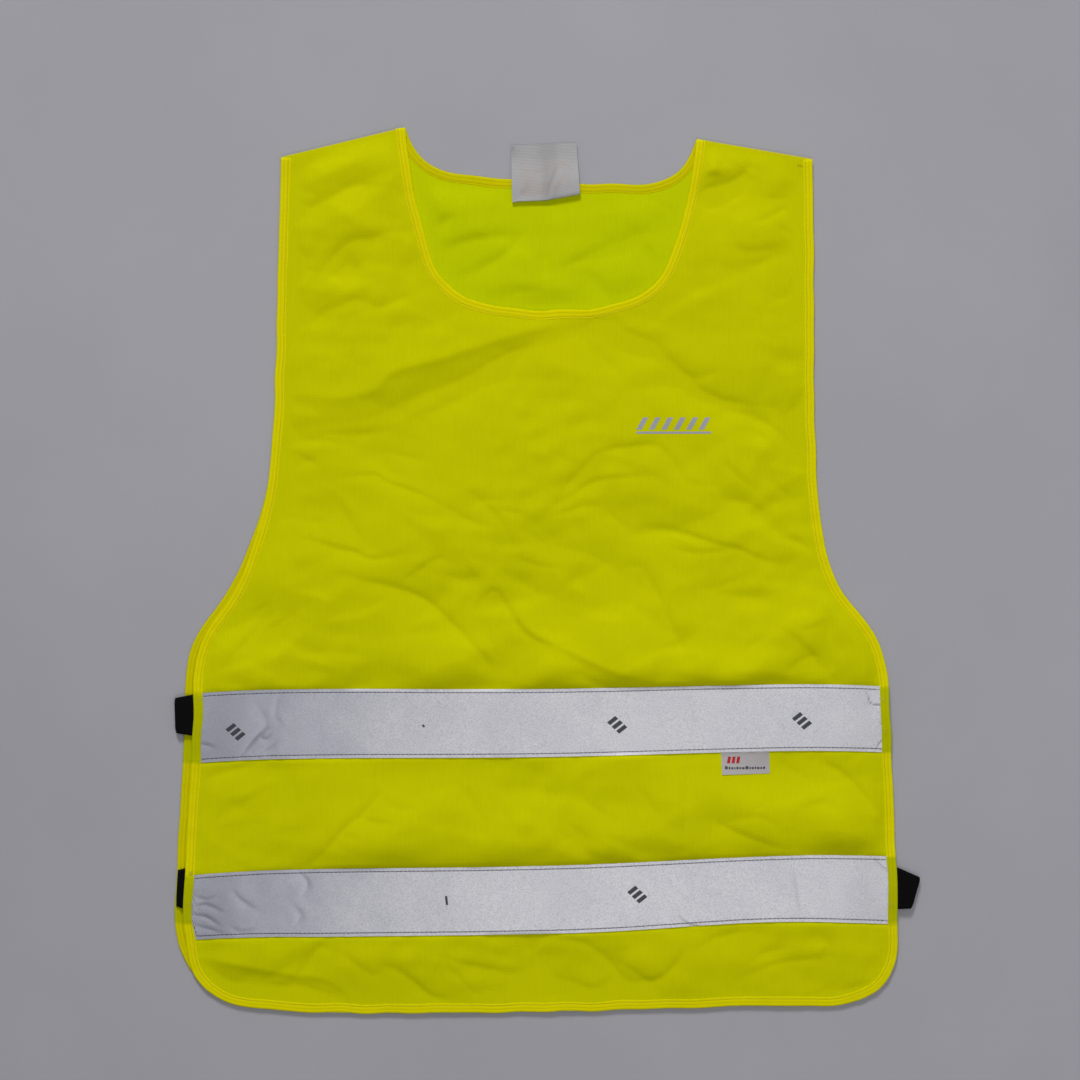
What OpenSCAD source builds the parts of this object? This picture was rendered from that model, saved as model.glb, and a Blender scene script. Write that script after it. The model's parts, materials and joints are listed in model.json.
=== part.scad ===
// High visibility vest of the bib kind, laid flat on its back, front side up.
// Millimetres. +Z is up, +Y runs from the hem to the neck, and the origin is on the
// surface that the vest lies on, under the middle of its outline.

/* [Body] */
// Half width of the shoulders, from the centre to the tip
shoulder_half_w = 196; // [180:1:215]
// Half width of the neck opening at the shoulder seams
neck_half_w = 107.5; // [95:0.5:120]
// Half width below the armholes
side_half_w = 256; // [240:1:275]
// Extra half width that the sides flare out by at the hem
hem_flare = 8; // [0:1:20]
// Drop of the front neckline below the shoulder seams at the neck
front_neck_drop = 131; // [110:1:150]
// Drop of the back neckline
back_neck_drop = 36; // [30:1:50]

/* [Fabric] */
// Thickness of the knitted body fabric
fabric_t = 0.4; // [0.3:0.05:0.6]
// Width of the folded binding on the edges
binding_w = 7; // [6:0.5:10]
// Thickness of one wall of the binding
binding_t = 0.5; // [0.3:0.05:0.7]
// Thickness of a sewing thread as it stands on the cloth
thread_t = 0.12; // [0.08:0.02:0.2]
// Width of a row of stitches
thread_w = 0.6; // [0.4:0.1:1]
// Free height between the back and the front, for the folded straps
body_gap = 4.3; // [4.2:0.1:8]

/* [Reflective tape] */
// Width of the retroreflective tape
tape_w = 50; // [50:1:75]
// Thickness of the tape
tape_t = 0.3; // [0.2:0.05:0.4]
// Height of the middle of the upper tape above the origin
upper_tape_y = -112.5; // [-130:0.5:-100]
// Height of the middle of the lower tape above the origin
lower_tape_y = -242.7; // [-255:0.5:-230]

/* [Side straps] */
// Width of the elastic
strap_w = 28; // [20:1:32]
// Thickness of the elastic
strap_t = 0.9; // [0.7:0.05:1]
// How far a strap's fold stands out past the edge of the front
strap_reach = 16; // [12:1:25]

/* [Labels] */
// Width of the label at the back of the neck
label_w = 50; // [40:1:60]
// Length of its free flap, from the fold to the end
label_flap = 42; // [35:1:50]
// Length of the part between its seam and the fold
label_root = 9; // [6:1:12]
// Width of the small flag label
flag_w = 35.5; // [30:0.5:45]
// Height of the small flag label
flag_h = 16.3; // [12:0.1:22]

/* [Hidden] */

// Colours
fluorescent = [0.72, 0.74, 0.02];
trim_yellow = [0.80, 0.77, 0.02];
silver = [0.76, 0.76, 0.79];
charcoal = [0.05, 0.05, 0.055];
thread_grey = [0.35, 0.35, 0.37];
label_white = [0.68, 0.67, 0.66];

// Heights of the layers, from the surface up
back_z = binding_t;
back_inner_z = back_z + fabric_t + binding_t;
front_inner_z = back_inner_z + body_gap;
front_z = front_inner_z + binding_t;
front_top_z = front_z + fabric_t;
bound_h = 2 * binding_t + fabric_t;

// The pattern: a point is [distance from the centre line, height above the origin]
neck_y = 322.5;
shoulder_tip_y = 304;
armhole_turn = [231, -26];
underarm_y = -85;
hem_turn_y = -272;
hem_corner = [212, -323];
hem_y = -326;
steps = 10;

function bezier(a, b, c, d, n = steps) =
    [for (i = [0:n - 1]) let (t = i / n, u = 1 - t)
        u * u * u * a + 3 * u * u * t * b + 3 * u * t * t * c + t * t * t * d];

function ramp(v, from, to) =
    let (t = min(1, max(0, (v - from) / (to - from)))) t * t * (3 - 2 * t);

function mirrored(points) = [for (p = points) [-p.x, p.y]];

function reversed(points) = [for (i = [len(points) - 1:-1:0]) points[i]];

// Right side of the outer edge, from the shoulder tip down to the middle of the hem
side_edge = let (
    tip = [shoulder_half_w, shoulder_tip_y],
    armhole_start = [shoulder_half_w + 3, 130],
    underarm = [side_half_w, underarm_y],
    hem_turn = [side_half_w + hem_flare, hem_turn_y]
) concat(
    bezier(tip, tip + [1.5, -50], armhole_start + [-1, 60], armhole_start),
    bezier(armhole_start, armhole_start + [2, -70], [206, 5], armhole_turn),
    bezier(armhole_turn, armhole_turn + [14, -18], underarm + [-1, 33], underarm),
    bezier(underarm, underarm + [2, -55], hem_turn + [-1, 58], hem_turn),
    bezier(hem_turn, hem_turn + [0, -34], hem_corner + [37, 3], hem_corner),
    bezier(hem_corner, hem_corner + [-60, -1.5], [60, hem_y], [0, hem_y], 8)
);

// The whole outer edge, from the right shoulder tip round the hem to the left one
outer_edge = concat(side_edge, [[0, hem_y]], reversed(mirrored(side_edge)));

// Half necklines, from the shoulder seam to the centre line
function front_neck_half() = let (
    top = [neck_half_w, neck_y],
    turn = top - [20.5, 95.5],
    low = [0, neck_y - front_neck_drop]
) concat(
    bezier(top, top - [3, 32.5], top - [8.5, 60.5], turn),
    bezier(turn, turn - [9, 26], low + [48, 0], low)
);

function back_neck_half() = let (
    top = [neck_half_w, neck_y],
    turn = top - [41.5, back_neck_drop - 2],
    low = [0, neck_y - back_neck_drop]
) concat(
    bezier(top, top - [4.5, 13.5], top - [11.5, back_neck_drop - 4], turn),
    bezier(turn, turn - [22, 1.7], low + [20, 0], low, 4)
);

// A whole neckline from left to right, without its two ends
function neckline(half) = let (low = half[len(half) - 1])
    concat([for (i = [1:len(half) - 1]) [-half[i].x, half[i].y]],
        [[0, min([for (p = half) p.y])]],
        [for (i = [len(half) - 1:-1:1]) half[i]]);

// How the cloth lies: askew at the neck and the hem, with the armholes slumped to
// the left and the two corners of the hem dragged
function lay(p) = let (
    skew = 0.005 + 0.0195 * exp(-pow((p.y + 240) / 130, 2)),
    sag = 0.8 * (1 - cos(p.x)) - 1.6 * pow(max(0, abs(p.x) - 190) / 60, 2),
    body = (1 - ramp(p.y, -20, 120)) * ramp(p.y, -326, -290),
    neck_pull = 4.9 * sin(p.x * 9 / 11) * ramp(p.y, 230, 300),
    neck_shift = 7 * exp(-pow(p.x / 130, 2)) * ramp(p.y, 100, 200),
    slump = 4 * exp(-pow((p.y + 10) / 55, 2)) * ramp(abs(p.x), 150, 200),
    drag = ramp(abs(p.x), 140, 262) * ramp(p.y, -235, -305) * (p.x < 0 ? 1 : -0.8)
) [
    p.x - 2 + 0.0075 * p.y + neck_shift - slump + 5.5 * max(0, drag),
    p.y + skew * p.x + sag * body - neck_pull + 5 * drag
];

// The back lies a little to the left of the front, and its hem is covered
function lay_back(p) = let (
    q = lay(p),
    slide = 6.5 * ramp(p.y, 80, -60) * ramp(p.y, -310, -265)
) [q.x - slide, q.y + 2.5 * ramp(p.y, -250, -320)];

function laid(points, back) = [for (p = points) back ? lay_back(p) : lay(p)];

function edge(back) = laid(outer_edge, back);

function neck_edge(back) = laid(concat(
    [[-neck_half_w, neck_y]],
    neckline(back ? back_neck_half() : front_neck_half()),
    [[neck_half_w, neck_y]]), back);

// Outline of a panel, clockwise from the right shoulder tip
function outline(back) = concat(edge(back), neck_edge(back));

function unit(v) = v / norm(v);

function left_of(v) = [-v.y, v.x];

// An open path moved sideways by d, to its right for a positive d
function beside(path, d) = [for (i = [0:len(path) - 1]) let (
    a = path[max(0, i - 1)],
    b = path[min(len(path) - 1, i + 1)],
    here = path[i],
    before = i == 0 ? unit(b - here) : unit(here - a),
    after = i == len(path) - 1 ? before : unit(b - here),
    n1 = left_of(before),
    n2 = left_of(after)
) here - d * (n1 + n2) / (1 + n1 * n2)];

// A path with its two ends moved outward
function lengthened(path, by) = let (last = len(path) - 1) concat(
    [path[0] + by * unit(path[0] - path[1])],
    [for (i = [1:last - 1]) path[i]],
    [path[last] + by * unit(path[last] - path[last - 1])]);

// A closed outline drawn in by d, for points that run clockwise
function inset(points, d) = let (n = len(points)) [for (i = [0:n - 1]) let (
    a = points[(i + n - 1) % n],
    here = points[i],
    b = points[(i + 1) % n],
    n1 = left_of(unit(here - a)),
    n2 = left_of(unit(b - here))
) here - d * (n1 + n2) / (1 + n1 * n2)];

// Horizontal place of a laid edge at a height, on the side given by its sign
function edge_x(side, y, back) = let (n = len(side_edge))
    lookup(y, [for (i = [2 * steps:5 * steps - 1])
        let (p = laid([[side * side_edge[i].x, side_edge[i].y]], back)[0]) [p.y, p.x]]);

// A slab of a shape's plan between two heights
module slab(points, low, high) {
    translate([0, 0, low]) linear_extrude(high - low) polygon(points);
}

// A band along a path, from inner to outer distance beside it
module band(path, near, far, low, high) {
    slab(concat(beside(path, near), reversed(beside(path, far))), low, high);
}

module panel(back) {
    level = back ? back_z : front_z;
    slab(inset(outline(back), binding_t), level, level + fabric_t);
}

// Cloth folded over the edge of a panel, cut off along the shoulder seams
module binding(path, back) {
    low = back ? 0 : front_inner_z;
    whole = lengthened(path, binding_w / 2);
    difference() {
        intersection() {
            slab(outline(back), low, low + bound_h);
            band(whole, -1, binding_w, low - 1, low + bound_h + 1);
        }
        band(whole, binding_t, binding_w + 1, low + binding_t, low + binding_t + fabric_t);
    }
}

// Plan of a straight strip of the pattern, once it is laid
function strip_plan(y_low, y_high, back) = let (reach = side_half_w + 40)
    concat(laid([for (x = [-reach:20:reach]) [x, y_low]], back),
        laid([for (x = [reach:-20:-reach]) [x, y_high]], back));

module across_body(y_low, y_high, low, high, back) {
    intersection() {
        slab(inset(outline(back), binding_w + 0.1), low, high);
        slab(strip_plan(y_low, y_high, back), low - 1, high + 1);
    }
}

module tape(y, back) {
    low = back ? back_z - tape_t : front_top_z;
    across_body(y - tape_w / 2, y + tape_w / 2, low, low + tape_t, back);
}

stitch_inset = 2;

module tape_stitching(back) {
    low = back ? back_z - tape_t - thread_t : front_top_z + tape_t;
    for (y = [upper_tape_y, lower_tape_y])
        for (row = [-1, 1])
            let (middle = y + row * (tape_w / 2 - stitch_inset))
                across_body(middle - thread_w / 2, middle + thread_w / 2, low, low + thread_t, back);
}

// The row that closes the binding shows on the outer face
module binding_stitching(back) {
    low = back ? back_z - thread_t : front_top_z;
    row = binding_w + 0.2;
    for (path = [edge(back), neck_edge(back)])
        difference() {
            intersection() {
                slab(inset(outline(back), binding_t + 0.5), low, low + thread_t);
                band(path, row, row + thread_w, low - 1, low + thread_t + 1);
            }
            tape_clearance(back);
        }
}

// Room that the tapes take in the row of the binding
module tape_clearance(back) {
    for (y = [upper_tape_y, lower_tape_y])
        slab(strip_plan(y - tape_w / 2 - 0.3, y + tape_w / 2 + 0.3, back), -2, front_top_z + 3);
}

seam_allowance = 8;
seam_wall = 1.2;

// The two shoulder edges sewn together, with the allowance turned inside
module shoulder_seam(side) {
    neck = lay([side * (neck_half_w + binding_w + 1), neck_y - 0.208 * (binding_w + 1)]);
    tip = lay([side * (shoulder_half_w - binding_w - 1), shoulder_tip_y + 0.208 * (binding_w + 1)]);
    along = side > 0 ? [neck, tip] : [tip, neck];
    band(along, binding_t, binding_t + seam_wall, back_z + fabric_t, front_z);
    band(along, binding_t + seam_wall, binding_t + seam_allowance, back_z + fabric_t, back_inner_z + 0.5);
}

// Half turn of a strap's middle line, from one level up to the next
function half_turn(x, low, high, out, n = 8) = let (r = (high - low) / 2)
    [for (i = [0:n]) let (a = -90 + 180 * i / n) [x + out * r * cos(a), low + r + r * sin(a)]];

// Middle line of a strap that stands out: [distance past the edge, height]
strap_low = back_inner_z + strap_t / 2;
strap_high = front_inner_z - strap_t / 2;
strap_level = (strap_high - strap_low) / 3;
strap_sewn = -binding_w + 0.5;

function strap_out(back_edge) = concat(
    [[back_edge + strap_sewn, strap_low]],
    half_turn(strap_reach - (strap_high - strap_low) / 2 - strap_t / 2, strap_low, strap_high, 1),
    [[strap_sewn, strap_high]]);

// Middle line of a strap that is turned in between the panels
function strap_in(back_edge, bulge = 3, depth = 10) = concat(
    [[back_edge + strap_sewn, strap_low]],
    half_turn(back_edge - 1.5, strap_low, strap_low + strap_level, 1),
    half_turn(min(back_edge, 0) - depth, strap_low + strap_level, strap_high - strap_level, -1),
    half_turn(bulge, strap_high - strap_level, strap_high, 1),
    [[strap_sewn, strap_high]]);

module strap(side, y, turned_in) {
    front_x = edge_x(side, y, false);
    back_edge = side * (edge_x(side, y, true) - front_x);
    line = turned_in ? strap_in(back_edge) : strap_out(back_edge);
    ribbon = concat(beside(line, -strap_t / 2), reversed(beside(line, strap_t / 2)));
    translate([front_x, y + strap_w / 2, 0])
        rotate([90, 0, 0])
            linear_extrude(strap_w) polygon([for (p = ribbon) [side * p.x, p.y]]);
}

upper_strap_y = -107;
lower_strap_y = -234.5;
strap_places = [[-1, upper_strap_y], [-1, lower_strap_y], [1, upper_strap_y], [1, lower_strap_y]];

tack_w = 2.4;
tack_l = 3;

// Zigzag tacks that hold the ends of the straps. The back's are on the sewn ends
// themselves, on the inside, and the front's are on its outer face.
module strap_bartacks(back) {
    low = back ? back_inner_z + strap_t : front_inner_z + bound_h;
    for (place = strap_places, end = [-1, 1])
        translate([
            edge_x(place.x, place.y, back) + place.x * (strap_sewn + tack_w / 2 + 0.2) - tack_w / 2,
            place.y + end * (strap_w / 2 - tack_l) - tack_l / 2,
            low
        ])
            cube([tack_w, tack_l, thread_t]);
}

label_t = 0.25;
label_turn = 2.5;
label_middle = [0.7, 272.8];
label_low = back_inner_z + 0.05;
label_high = label_low + 1.6;

// Everything on the neck label is drawn from its fold, turned a little on the cloth
module at_label_fold() {
    translate([label_middle.x, label_middle.y, 0]) rotate([0, 0, label_turn]) children();
}

module neck_label_root() {
    color(label_white)
        at_label_fold()
            translate([-label_w / 2, 0.2, label_low]) cube([label_w, label_root, label_t]);
}

module neck_label_flap() {
    thickness = 2 * label_t;
    color(label_white)
        at_label_fold()
            union() {
                translate([-label_w / 2, 0, label_high]) cube([label_w, label_flap, thickness]);
                translate([-label_w / 2, -0.6, label_low + label_t + 0.1])
                    cube([label_w, 0.6, label_high + thickness - label_low - label_t - 0.1]);
            }
}

module neck_label_stitching() {
    color(trim_yellow)
        at_label_fold()
            translate([-label_w / 2, label_root - 1.4, label_low + label_t])
                cube([label_w, thread_w, thread_t]);
}

flag_middle = 147;
flag_t = 0.25;
flag_gap = 0.8;

module flag_label() {
    top = lay([flag_middle, upper_tape_y - tape_w / 2]).y - flag_gap;
    color(label_white)
        translate([flag_middle - flag_w / 2, top - flag_h, front_top_z + 0.1])
            cube([flag_w, flag_h, flag_t]);
}

transfer_w = 55;
transfer_h = 12;
transfer_bars = 6;
transfer_t = 0.12;
transfer_middle = [94.4, 106.5];

// A plain printed motif: a row of slanting bars over a thin line
module chest_transfer() {
    pitch = transfer_w / transfer_bars;
    lean = transfer_h / 2;
    color(thread_grey)
        translate([transfer_middle.x - transfer_w / 2, transfer_middle.y - transfer_h / 2, 0])
            union() {
                for (i = [0:transfer_bars - 1])
                    slab([[i * pitch, 3], [i * pitch + lean - 1, transfer_h],
                            [i * pitch + lean + 3, transfer_h], [i * pitch + 4, 3]],
                        front_top_z, front_top_z + transfer_t);
                slab([[0, 0], [0, 1.6], [transfer_w, 1.6], [transfer_w, 0]],
                    front_top_z, front_top_z + transfer_t);
            }
}

color(fluorescent) panel(true);  // back_panel
color(fluorescent) panel(false);  // front_panel
color(trim_yellow) binding(edge(true), true);  // back_edge_binding
color(trim_yellow) binding(edge(false), false);  // front_edge_binding
color(trim_yellow) binding(neck_edge(true), true);  // back_neck_binding
color(trim_yellow) binding(neck_edge(false), false);  // front_neck_binding
color(silver) tape(upper_tape_y, true);  // back_upper_tape
color(silver) tape(lower_tape_y, true);  // back_lower_tape
color(silver) tape(upper_tape_y, false);  // front_upper_tape
color(silver) tape(lower_tape_y, false);  // front_lower_tape
color(trim_yellow) shoulder_seam(-1);  // left_shoulder_seam
color(trim_yellow) shoulder_seam(1);  // right_shoulder_seam
color(charcoal) strap(-1, upper_strap_y, false);  // left_upper_strap
color(charcoal) strap(-1, lower_strap_y, true);  // left_lower_strap
color(charcoal) strap(1, upper_strap_y, true);  // right_upper_strap
color(charcoal) strap(1, lower_strap_y, false);  // right_lower_strap
color(trim_yellow) strap_bartacks(true);  // back_strap_bartacks
color(trim_yellow) strap_bartacks(false);  // front_strap_bartacks
color(thread_grey) tape_stitching(true);  // back_tape_stitching
color(thread_grey) tape_stitching(false);  // front_tape_stitching
color(trim_yellow) binding_stitching(true);  // back_binding_stitching
color(trim_yellow) binding_stitching(false);  // front_binding_stitching
neck_label_root();
neck_label_flap();
neck_label_stitching();
flag_label();
chest_transfer();
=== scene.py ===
"""High visibility vest of the bib kind, laid flat: its cloths, bindings, reflective bands,
stitching, straps, labels and chest motif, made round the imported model."""

import functools
import json
import math

import bmesh
import bpy
import numpy as np
from bpy.props import FloatProperty, FloatVectorProperty, PointerProperty
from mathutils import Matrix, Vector
from mathutils.bvhtree import BVHTree
from mathutils.geometry import delaunay_2d_cdt


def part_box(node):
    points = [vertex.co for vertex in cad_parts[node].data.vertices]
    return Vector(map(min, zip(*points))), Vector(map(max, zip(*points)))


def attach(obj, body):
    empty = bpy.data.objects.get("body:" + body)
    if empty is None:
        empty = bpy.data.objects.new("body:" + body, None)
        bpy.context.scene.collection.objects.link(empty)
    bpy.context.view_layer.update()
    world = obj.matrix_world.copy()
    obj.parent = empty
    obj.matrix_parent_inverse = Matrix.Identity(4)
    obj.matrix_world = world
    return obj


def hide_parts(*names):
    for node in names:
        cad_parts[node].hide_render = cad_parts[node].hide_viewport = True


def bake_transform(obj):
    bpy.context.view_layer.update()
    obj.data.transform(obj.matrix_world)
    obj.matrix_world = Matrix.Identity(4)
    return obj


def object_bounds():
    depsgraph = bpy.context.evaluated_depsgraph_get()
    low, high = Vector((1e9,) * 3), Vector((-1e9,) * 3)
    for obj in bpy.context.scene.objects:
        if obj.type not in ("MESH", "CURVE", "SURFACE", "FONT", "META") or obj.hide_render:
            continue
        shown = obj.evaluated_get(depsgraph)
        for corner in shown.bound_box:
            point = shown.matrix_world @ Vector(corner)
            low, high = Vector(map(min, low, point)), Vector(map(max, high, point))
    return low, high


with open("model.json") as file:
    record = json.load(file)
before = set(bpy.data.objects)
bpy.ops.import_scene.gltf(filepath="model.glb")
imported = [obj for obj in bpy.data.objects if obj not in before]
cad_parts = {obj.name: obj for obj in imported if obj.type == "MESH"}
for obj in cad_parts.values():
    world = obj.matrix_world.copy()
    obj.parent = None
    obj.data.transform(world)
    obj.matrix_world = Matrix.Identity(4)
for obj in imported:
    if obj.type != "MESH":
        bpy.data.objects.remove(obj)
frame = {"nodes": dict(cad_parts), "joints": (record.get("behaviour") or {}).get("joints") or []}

bl_info = {
    "name": "High visibility vest",
    "version": (1, 0, 0),
    "blender": (4, 5, 0),
    "location": "3D View > Sidebar > Vest",
    "description": "Makes a bib-style high visibility vest round its packed model",
    "category": "Object",
}

CAD_BOX = [list(corner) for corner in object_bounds()]
MM = 0.001
OVERHANG = 0.0005  # How far a binding stands out past the cut edge of the cloth
LINE_STEP = 0.003  # Spacing of points on the outlines that distances are taken from
BAND_LIFT = 0.00022  # Between the cloth's face and the middle of a band
STITCH_INSET = 0.0025  # From a band's edge to its row of stitches
SHARP_ANGLE = 50  # Degrees between two faces that meet in a sharp edge
ROD_SIDES = 6  # Sides of a thread
THREAD_FLATNESS = 0.8  # Height of a stitch's thread as a share of its width
FLOOR_HALF = 8.0


# Sizes and colours ----------------------------------------------------------------------


def length(name, description, default):
    return FloatProperty(
        name=name, description=description, default=default, min=0, subtype="DISTANCE"
    )


def colour(name, description, default):
    return FloatVectorProperty(
        name=name, description=description, default=default, size=3, min=0, max=1,
        subtype="COLOR",
    )


def light(name, default):
    return FloatProperty(
        name=name, description="Power of the light", default=default, min=0, unit="POWER"
    )


def view_middle(axis, default):
    return FloatProperty(
        name="View middle " + axis, description="Middle of what the camera sees", default=default,
        subtype="DISTANCE",
    )


class VestSizes(bpy.types.PropertyGroup):
    cell: length("Cloth cell", "Distance between neighbouring points of the front's cloth", 0.0021)
    back_cell: length("Back cloth cell", "The same for the back's cloth", 0.0030)
    cloth: length("Cloth thickness", "Thickness of the knitted cloth", 0.00036)
    binding: length("Binding width", "Width of the folded binding", 0.007)
    stitch: length("Stitch length", "Length of one stitch that shows", 0.0029)
    stitch_gap: length("Stitch gap", "Distance between two stitches", 0.0003)
    thread: length("Thread", "Thickness of the sewing thread", 0.00038)
    webbing: length("Webbing thickness", "Thickness of the elastic", 0.0009)
    fold_depth: FloatProperty(
        name="Fold depth", description="How deep the hand-laid folds are, 1 as laid",
        default=1.0, min=0, max=3,
    )
    swell: length("Swell", "Height of the soft rise and fall of the cloth", 0.0007)


class VestColours(bpy.types.PropertyGroup):
    knit: colour("Knit", "Fluorescent yellow of the front's cloth", (0.725, 0.738, 0.0))
    back_knit: colour("Back knit", "The greener yellow of the back's cloth", (0.675, 0.77, 0.0))
    binding: colour("Binding", "Warmer yellow of the bindings", (0.864, 0.79, 0.0))
    # Darker binding colour: its uneven tone, and the painted shade in its grooves and along its rim
    binding_deep: colour("Binding, deep", "The bindings in their grooves", (0.69, 0.64, 0.0))
    # The band's colour where its painted reflection is strongest, and where it is weakest
    silver: colour("Silver", "Reflective band where it is bright", (0.93, 0.91, 0.95))
    silver_weak_reflection: colour("Silver, dull", "Reflective band where it is dull", (0.60, 0.61, 0.69))
    grey_thread: colour("Grey thread", "Thread on the bands", (0.03, 0.032, 0.04))
    yellow_thread: colour("Yellow thread", "Thread on the bindings", (0.95, 0.88, 0.01))
    black: colour("Elastic", "Black elastic webbing", (0.0030, 0.0026, 0.0030))
    label: colour("Label", "White woven label", (0.60, 0.585, 0.58))
    flag: colour("Flag label", "Grey-white satin of the small label", (0.60, 0.56, 0.56))
    motif: colour("Motif", "Silver-grey print on the chest", (0.50, 0.50, 0.56))
    print_grey: colour("Band print", "Dark print on the bands", (0.07, 0.075, 0.09))
    print_red: colour("Label print", "Red print on the small label", (0.62, 0.006, 0.02))
    floor: colour("Floor", "Pale floor", (0.50, 0.495, 0.535))


class StageSettings(bpy.types.PropertyGroup):
    camera_height: length("Camera height", "Height of the camera above the floor", 1.6)
    view_width: length("View width", "Width of the floor that the camera sees", 0.798)
    view_x: view_middle("X", -0.004)
    view_y: view_middle("Y", 0.0222)
    key: light("Key light", 80)
    fill: light("Fill light", 1.5)
    glow: light("Glow light", 2.5)
    top: light("Top light", 1.8)
    sky: FloatProperty(name="Sky", description="Strength of the room's own light", default=0.183, min=0)


def sizes():
    return bpy.context.scene.vest_sizes


def colours():
    return bpy.context.scene.vest_colours


# Material nodes -------------------------------------------------------------------------


class Value:
    """A socket in a material. Arithmetic on it adds Math nodes."""

    def __init__(self, finish, socket):
        self.finish = finish
        self.socket = socket

    def maths(self, operation, *values):
        made = self.finish.node("Math", {"operation": operation}, dict(enumerate(values)))
        return Value(self.finish, made.outputs[0])

    def __add__(self, other):
        return self.maths("ADD", self, other)

    def __radd__(self, other):
        return self.maths("ADD", other, self)

    def __sub__(self, other):
        return self.maths("SUBTRACT", self, other)

    def __rsub__(self, other):
        return self.maths("SUBTRACT", other, self)

    def __mul__(self, other):
        return self.maths("MULTIPLY", self, other)

    def __rmul__(self, other):
        return self.maths("MULTIPLY", other, self)

    def sine(self):
        return self.maths("SINE", self)

    def absolute(self):
        return self.maths("ABSOLUTE", self)

    def ribs(self, pitch):
        """Even rise and fall between 0 and 1, once in each pitch."""
        return (self * (2 * math.pi / pitch)).sine() * 0.5 + 0.5


def shaded(tint, share):
    """A colour made darker."""
    return tuple(part * share for part in tint)


class Finish:
    """A material that is built from expressions."""

    def __init__(self, name):
        self.material = bpy.data.materials.new(name)
        self.material.use_nodes = True
        self.tree = self.material.node_tree
        self.tree.nodes.clear()
        self.shader = self.node("BsdfPrincipled")
        self.node("OutputMaterial", inputs={"Surface": self.shader.outputs[0]})

    def node(self, kind, settings=None, inputs=None, stops=None):
        made = self.tree.nodes.new("ShaderNode" + kind)
        for key, value in (settings or {}).items():
            setattr(made, key, value)
        if stops:
            while len(made.color_ramp.elements) < len(stops):
                made.color_ramp.elements.new(0.5)
            for element, (place, shade) in zip(made.color_ramp.elements, stops):
                element.position = place
                element.color = (*shade, 1) if hasattr(shade, "__len__") else (shade, shade, shade, 1)
        for key, value in (inputs or {}).items():
            self.feed(made.inputs[key], value)
        return made

    def feed(self, socket, value):
        if isinstance(value, Value):
            value = value.socket
        if isinstance(value, bpy.types.NodeSocket):
            self.tree.links.new(value, socket)
        elif hasattr(value, "__len__") and len(value) == 3 and socket.type == "RGBA":
            socket.default_value = (*value, 1)
        else:
            socket.default_value = value

    def place(self):
        """Position on the object, in metres, as a socket and as three values."""
        spot = self.node("TexCoord").outputs["Object"]
        parts = self.node("SeparateXYZ", inputs={0: spot})
        return spot, *(Value(self, socket) for socket in parts.outputs)

    def measure(self, name):
        """A number that the mesh holds at each point."""
        made = self.node("Attribute", {"attribute_name": name})
        return Value(self, made.outputs["Fac"])

    def noise(self, spot, scale, detail=3.0, roughness=0.55, stretch=(1, 1, 1)):
        moved = self.node("Mapping", inputs={"Vector": spot, "Scale": stretch})
        made = self.node(
            "TexNoise",
            inputs={"Vector": moved.outputs[0], "Scale": scale, "Detail": detail, "Roughness": roughness},
        )
        return Value(self, made.outputs[0])

    def ramp(self, value, low, high):
        """0 below low, 1 above high and smooth between."""
        made = self.node(
            "MapRange",
            {"interpolation_type": "SMOOTHSTEP"},
            {"Value": value, "From Min": low, "From Max": high},
        )
        return Value(self, made.outputs[0])

    def mix(self, share, first, second, blend="MIX"):
        made = self.node(
            "Mix", {"data_type": "RGBA", "blend_type": blend, "clamp_factor": True},
            {0: share, 6: first, 7: second},
        )
        return made.outputs[2]

    def bump(self, height, distance, strength=1.0):
        made = self.node("Bump", inputs={"Height": height, "Distance": distance, "Strength": strength})
        return made.outputs[0]

    def surface(self, **inputs):
        for key, value in inputs.items():
            self.feed(self.shader.inputs[key.replace("_", " ")], value)
        return self.material


@functools.cache
def knit_finish(side):
    """Fine warp knit: upright ribs, crossed by small loops, a little uneven in colour, with a faint
    painted glow.
    """
    cloth = Finish(side + "_knit")
    tints = colours()
    knit = tints.knit if side == "front" else tints.back_knit
    spot, x, y, _ = cloth.place()
    rib = x.ribs(0.00125)
    loop = (y * (2 * math.pi / 0.0011) + rib * 1.6).sine() * 0.5 + 0.5
    streaks = cloth.noise(spot, 520, 3, stretch=(1, 0.1, 1))
    cloud = cloth.noise(spot, 9, 4, 0.6)
    speck = cloth.noise(spot, 1900, 2)
    depth = rib * 0.2 + loop * 0.14 + streaks * 0.35 + speck * 0.5
    share = cloth.ramp(depth, 0.25, 0.95)
    deep = shaded(knit, 0.88)
    worn = (knit[0] * 1.06, knit[1] * 1.02, 0.0)
    shade = cloth.mix(cloth.ramp(cloud, 0.38, 0.72) * 0.35, cloth.mix(share, deep, tuple(knit)), worn)
    return cloth.surface(
        Base_Color=shade,
        Roughness=0.80 + speck * 0.12,
        Specular_IOR_Level=0.03,
        # Emission gives a faint painted glow in the cloth's colour, standing in for its fluorescence
        Emission_Color=shade,
        Emission_Strength=0.02,
        Normal=cloth.bump(depth, 0.00022, 0.8),
    )


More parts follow.
